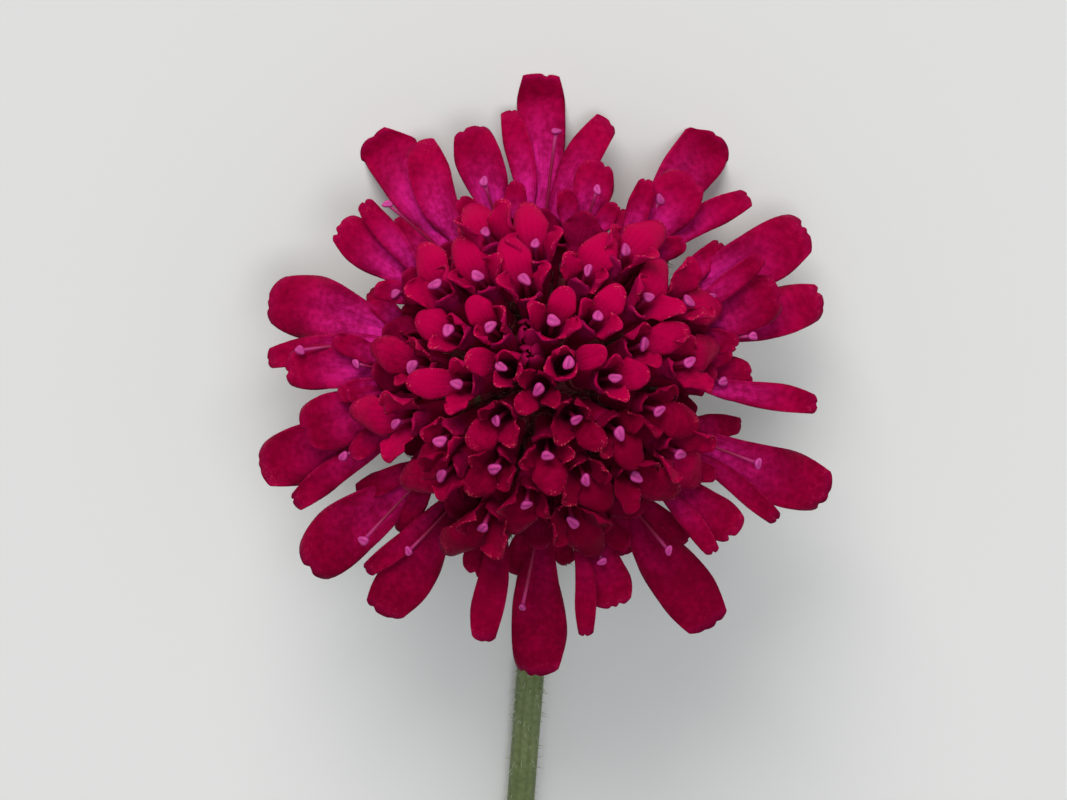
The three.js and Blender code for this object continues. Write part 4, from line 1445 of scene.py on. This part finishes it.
stalk = Tissue("along", "cut", "ribs")
numbers = stalk.put(skin, along=share, cut=0.0, ribs=ribs)
cut_rings = [numbers[0]]
for inset, sunk, paleness in cut_steps:
    points = stalk_line[0] + ring[0] * (1 - inset) + [0, sunk, 0]
    cut_rings.append(stalk.put(points, along=0.0, cut=paleness, ribs=0.0))
pith = stalk.put(stalk_line[0] + [0, pith_depth, 0], along=0.0, cut=1.0, ribs=0.0)
top = stalk.put(stalk_line[-1], along=1.0, cut=0.0, ribs=0.0)
stalk.join(quads(around(numbers)), quads(around(np.stack(cut_rings)))[:, ::-1])
stalk.join(fan(cut_rings[-1], pith), fan(numbers[-1], top)[:, ::-1])
print("the stalk is", round(float(np.ptp(stalk_line[:, 1])), 1), "mm long")

# %% [markdown]
# The stalk's green is mottled along its length, darker in the grooves between the ribs, and flushed
# with brown where it meets the head.

# %% Stalk material
STALK_DARK = (0.115, 0.155, 0.050, 1)
STALK_PALE = (0.200, 0.245, 0.100, 1)
GROOVE_DARK = (0.07, 0.10, 0.03, 1)
NECK_BROWN = (0.22, 0.10, 0.07, 1)
PITH_PALE = (0.52, 0.55, 0.33, 1)

stalk_material, tree, shader = principled("stalk", Roughness=0.55, Specular_IOR_Level=0.4)
soft = used(tree, mottle, Coarse=220.0, Fine=2500.0)
colour = mixed(tree, rise(tree, soft, 0.3, 0.7), STALK_DARK, STALK_PALE)
colour = mixed(tree, rise(tree, marked(tree, "ribs"), -0.2, 1.0, 0.0, 0.35), colour, GROOVE_DARK)
colour = mixed(tree, rise(tree, marked(tree, "along"), 0.82, 1.0, 0.0, 0.35), colour, NECK_BROWN)
painted(tree, shader, mixed(tree, marked(tree, "cut"), colour, PITH_PALE))
bumped(tree, shader, noise(tree, scale=3500.0, detail=3.0), strength=0.4, depth=0.08)
stalk.piece("stalk", stalk_material, "stem_green", "stem")

# %% [markdown]
# Short bristles stand off the stalk and point a little back to its foot. They are thickest near the
# head. None grows on the underside, where it would reach through the table.

# %% Stalk bristles
stalk_hair_count = 1500
stalk_hair_radius = 0.03
stalk_hair_lengths = (0.35, 0.9)
footward_lean = (0.1, 0.7)
hair_crowding = 1.25  # 1 would spread them evenly from foot to head
hair_root = 0.88  # from the stalk's middle line, just inside its skin
skin_radius = 0.9
hair_clearance = 0.3

spot = (1 - chance.random(stalk_hair_count) ** hair_crowding) * (len(stalk_line) - 1)
turn = chance.uniform(0, 2 * math.pi, stalk_hair_count)
where = np.stack([np.interp(spot, np.arange(len(stalk_line)), stalk_line[:, axis]) for axis in range(3)], 1)
slant = slope[spot.astype(int)]
out = np.stack([np.cos(turn), -np.sin(turn) * np.sin(slant), np.sin(turn) * np.cos(slant)], 1)
footward = -np.stack([np.zeros(stalk_hair_count), np.cos(slant), np.sin(slant)], 1)
heading = out + footward * chance.uniform(*footward_lean, stalk_hair_count)[:, None]
lengths = chance.uniform(*stalk_hair_lengths, stalk_hair_count)
root_heights = where[:, 2] + skin_radius * out[:, 2]
tip_heights = root_heights + unit(heading)[:, 2] * lengths
clear = (tip_heights > hair_clearance) & (root_heights > hair_clearance / 2)

stalk_hairs = Tissue("along")
roots = where + out * hair_root
bristles(stalk_hairs, roots[clear], heading[clear], lengths[clear], stalk_hair_radius)
stalk_hairs.piece("stalk_bristles", hair_material, "stem_green")
print(clear.sum(), "of", stalk_hair_count, "bristles are clear of the table")

# %% [markdown]
# Last, the box of the finished flower is printed beside the box of the solids, so that the two
# can be compared.

# %% Sizes
dressed_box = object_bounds()
boxes = {"cad": [list(corner) for corner in cad_box], "scene": [list(corner) for corner in dressed_box]}
for name, box in boxes.items():
    print(name, "box in mm:", [[round(c / MM, 1) for c in corner] for corner in box])
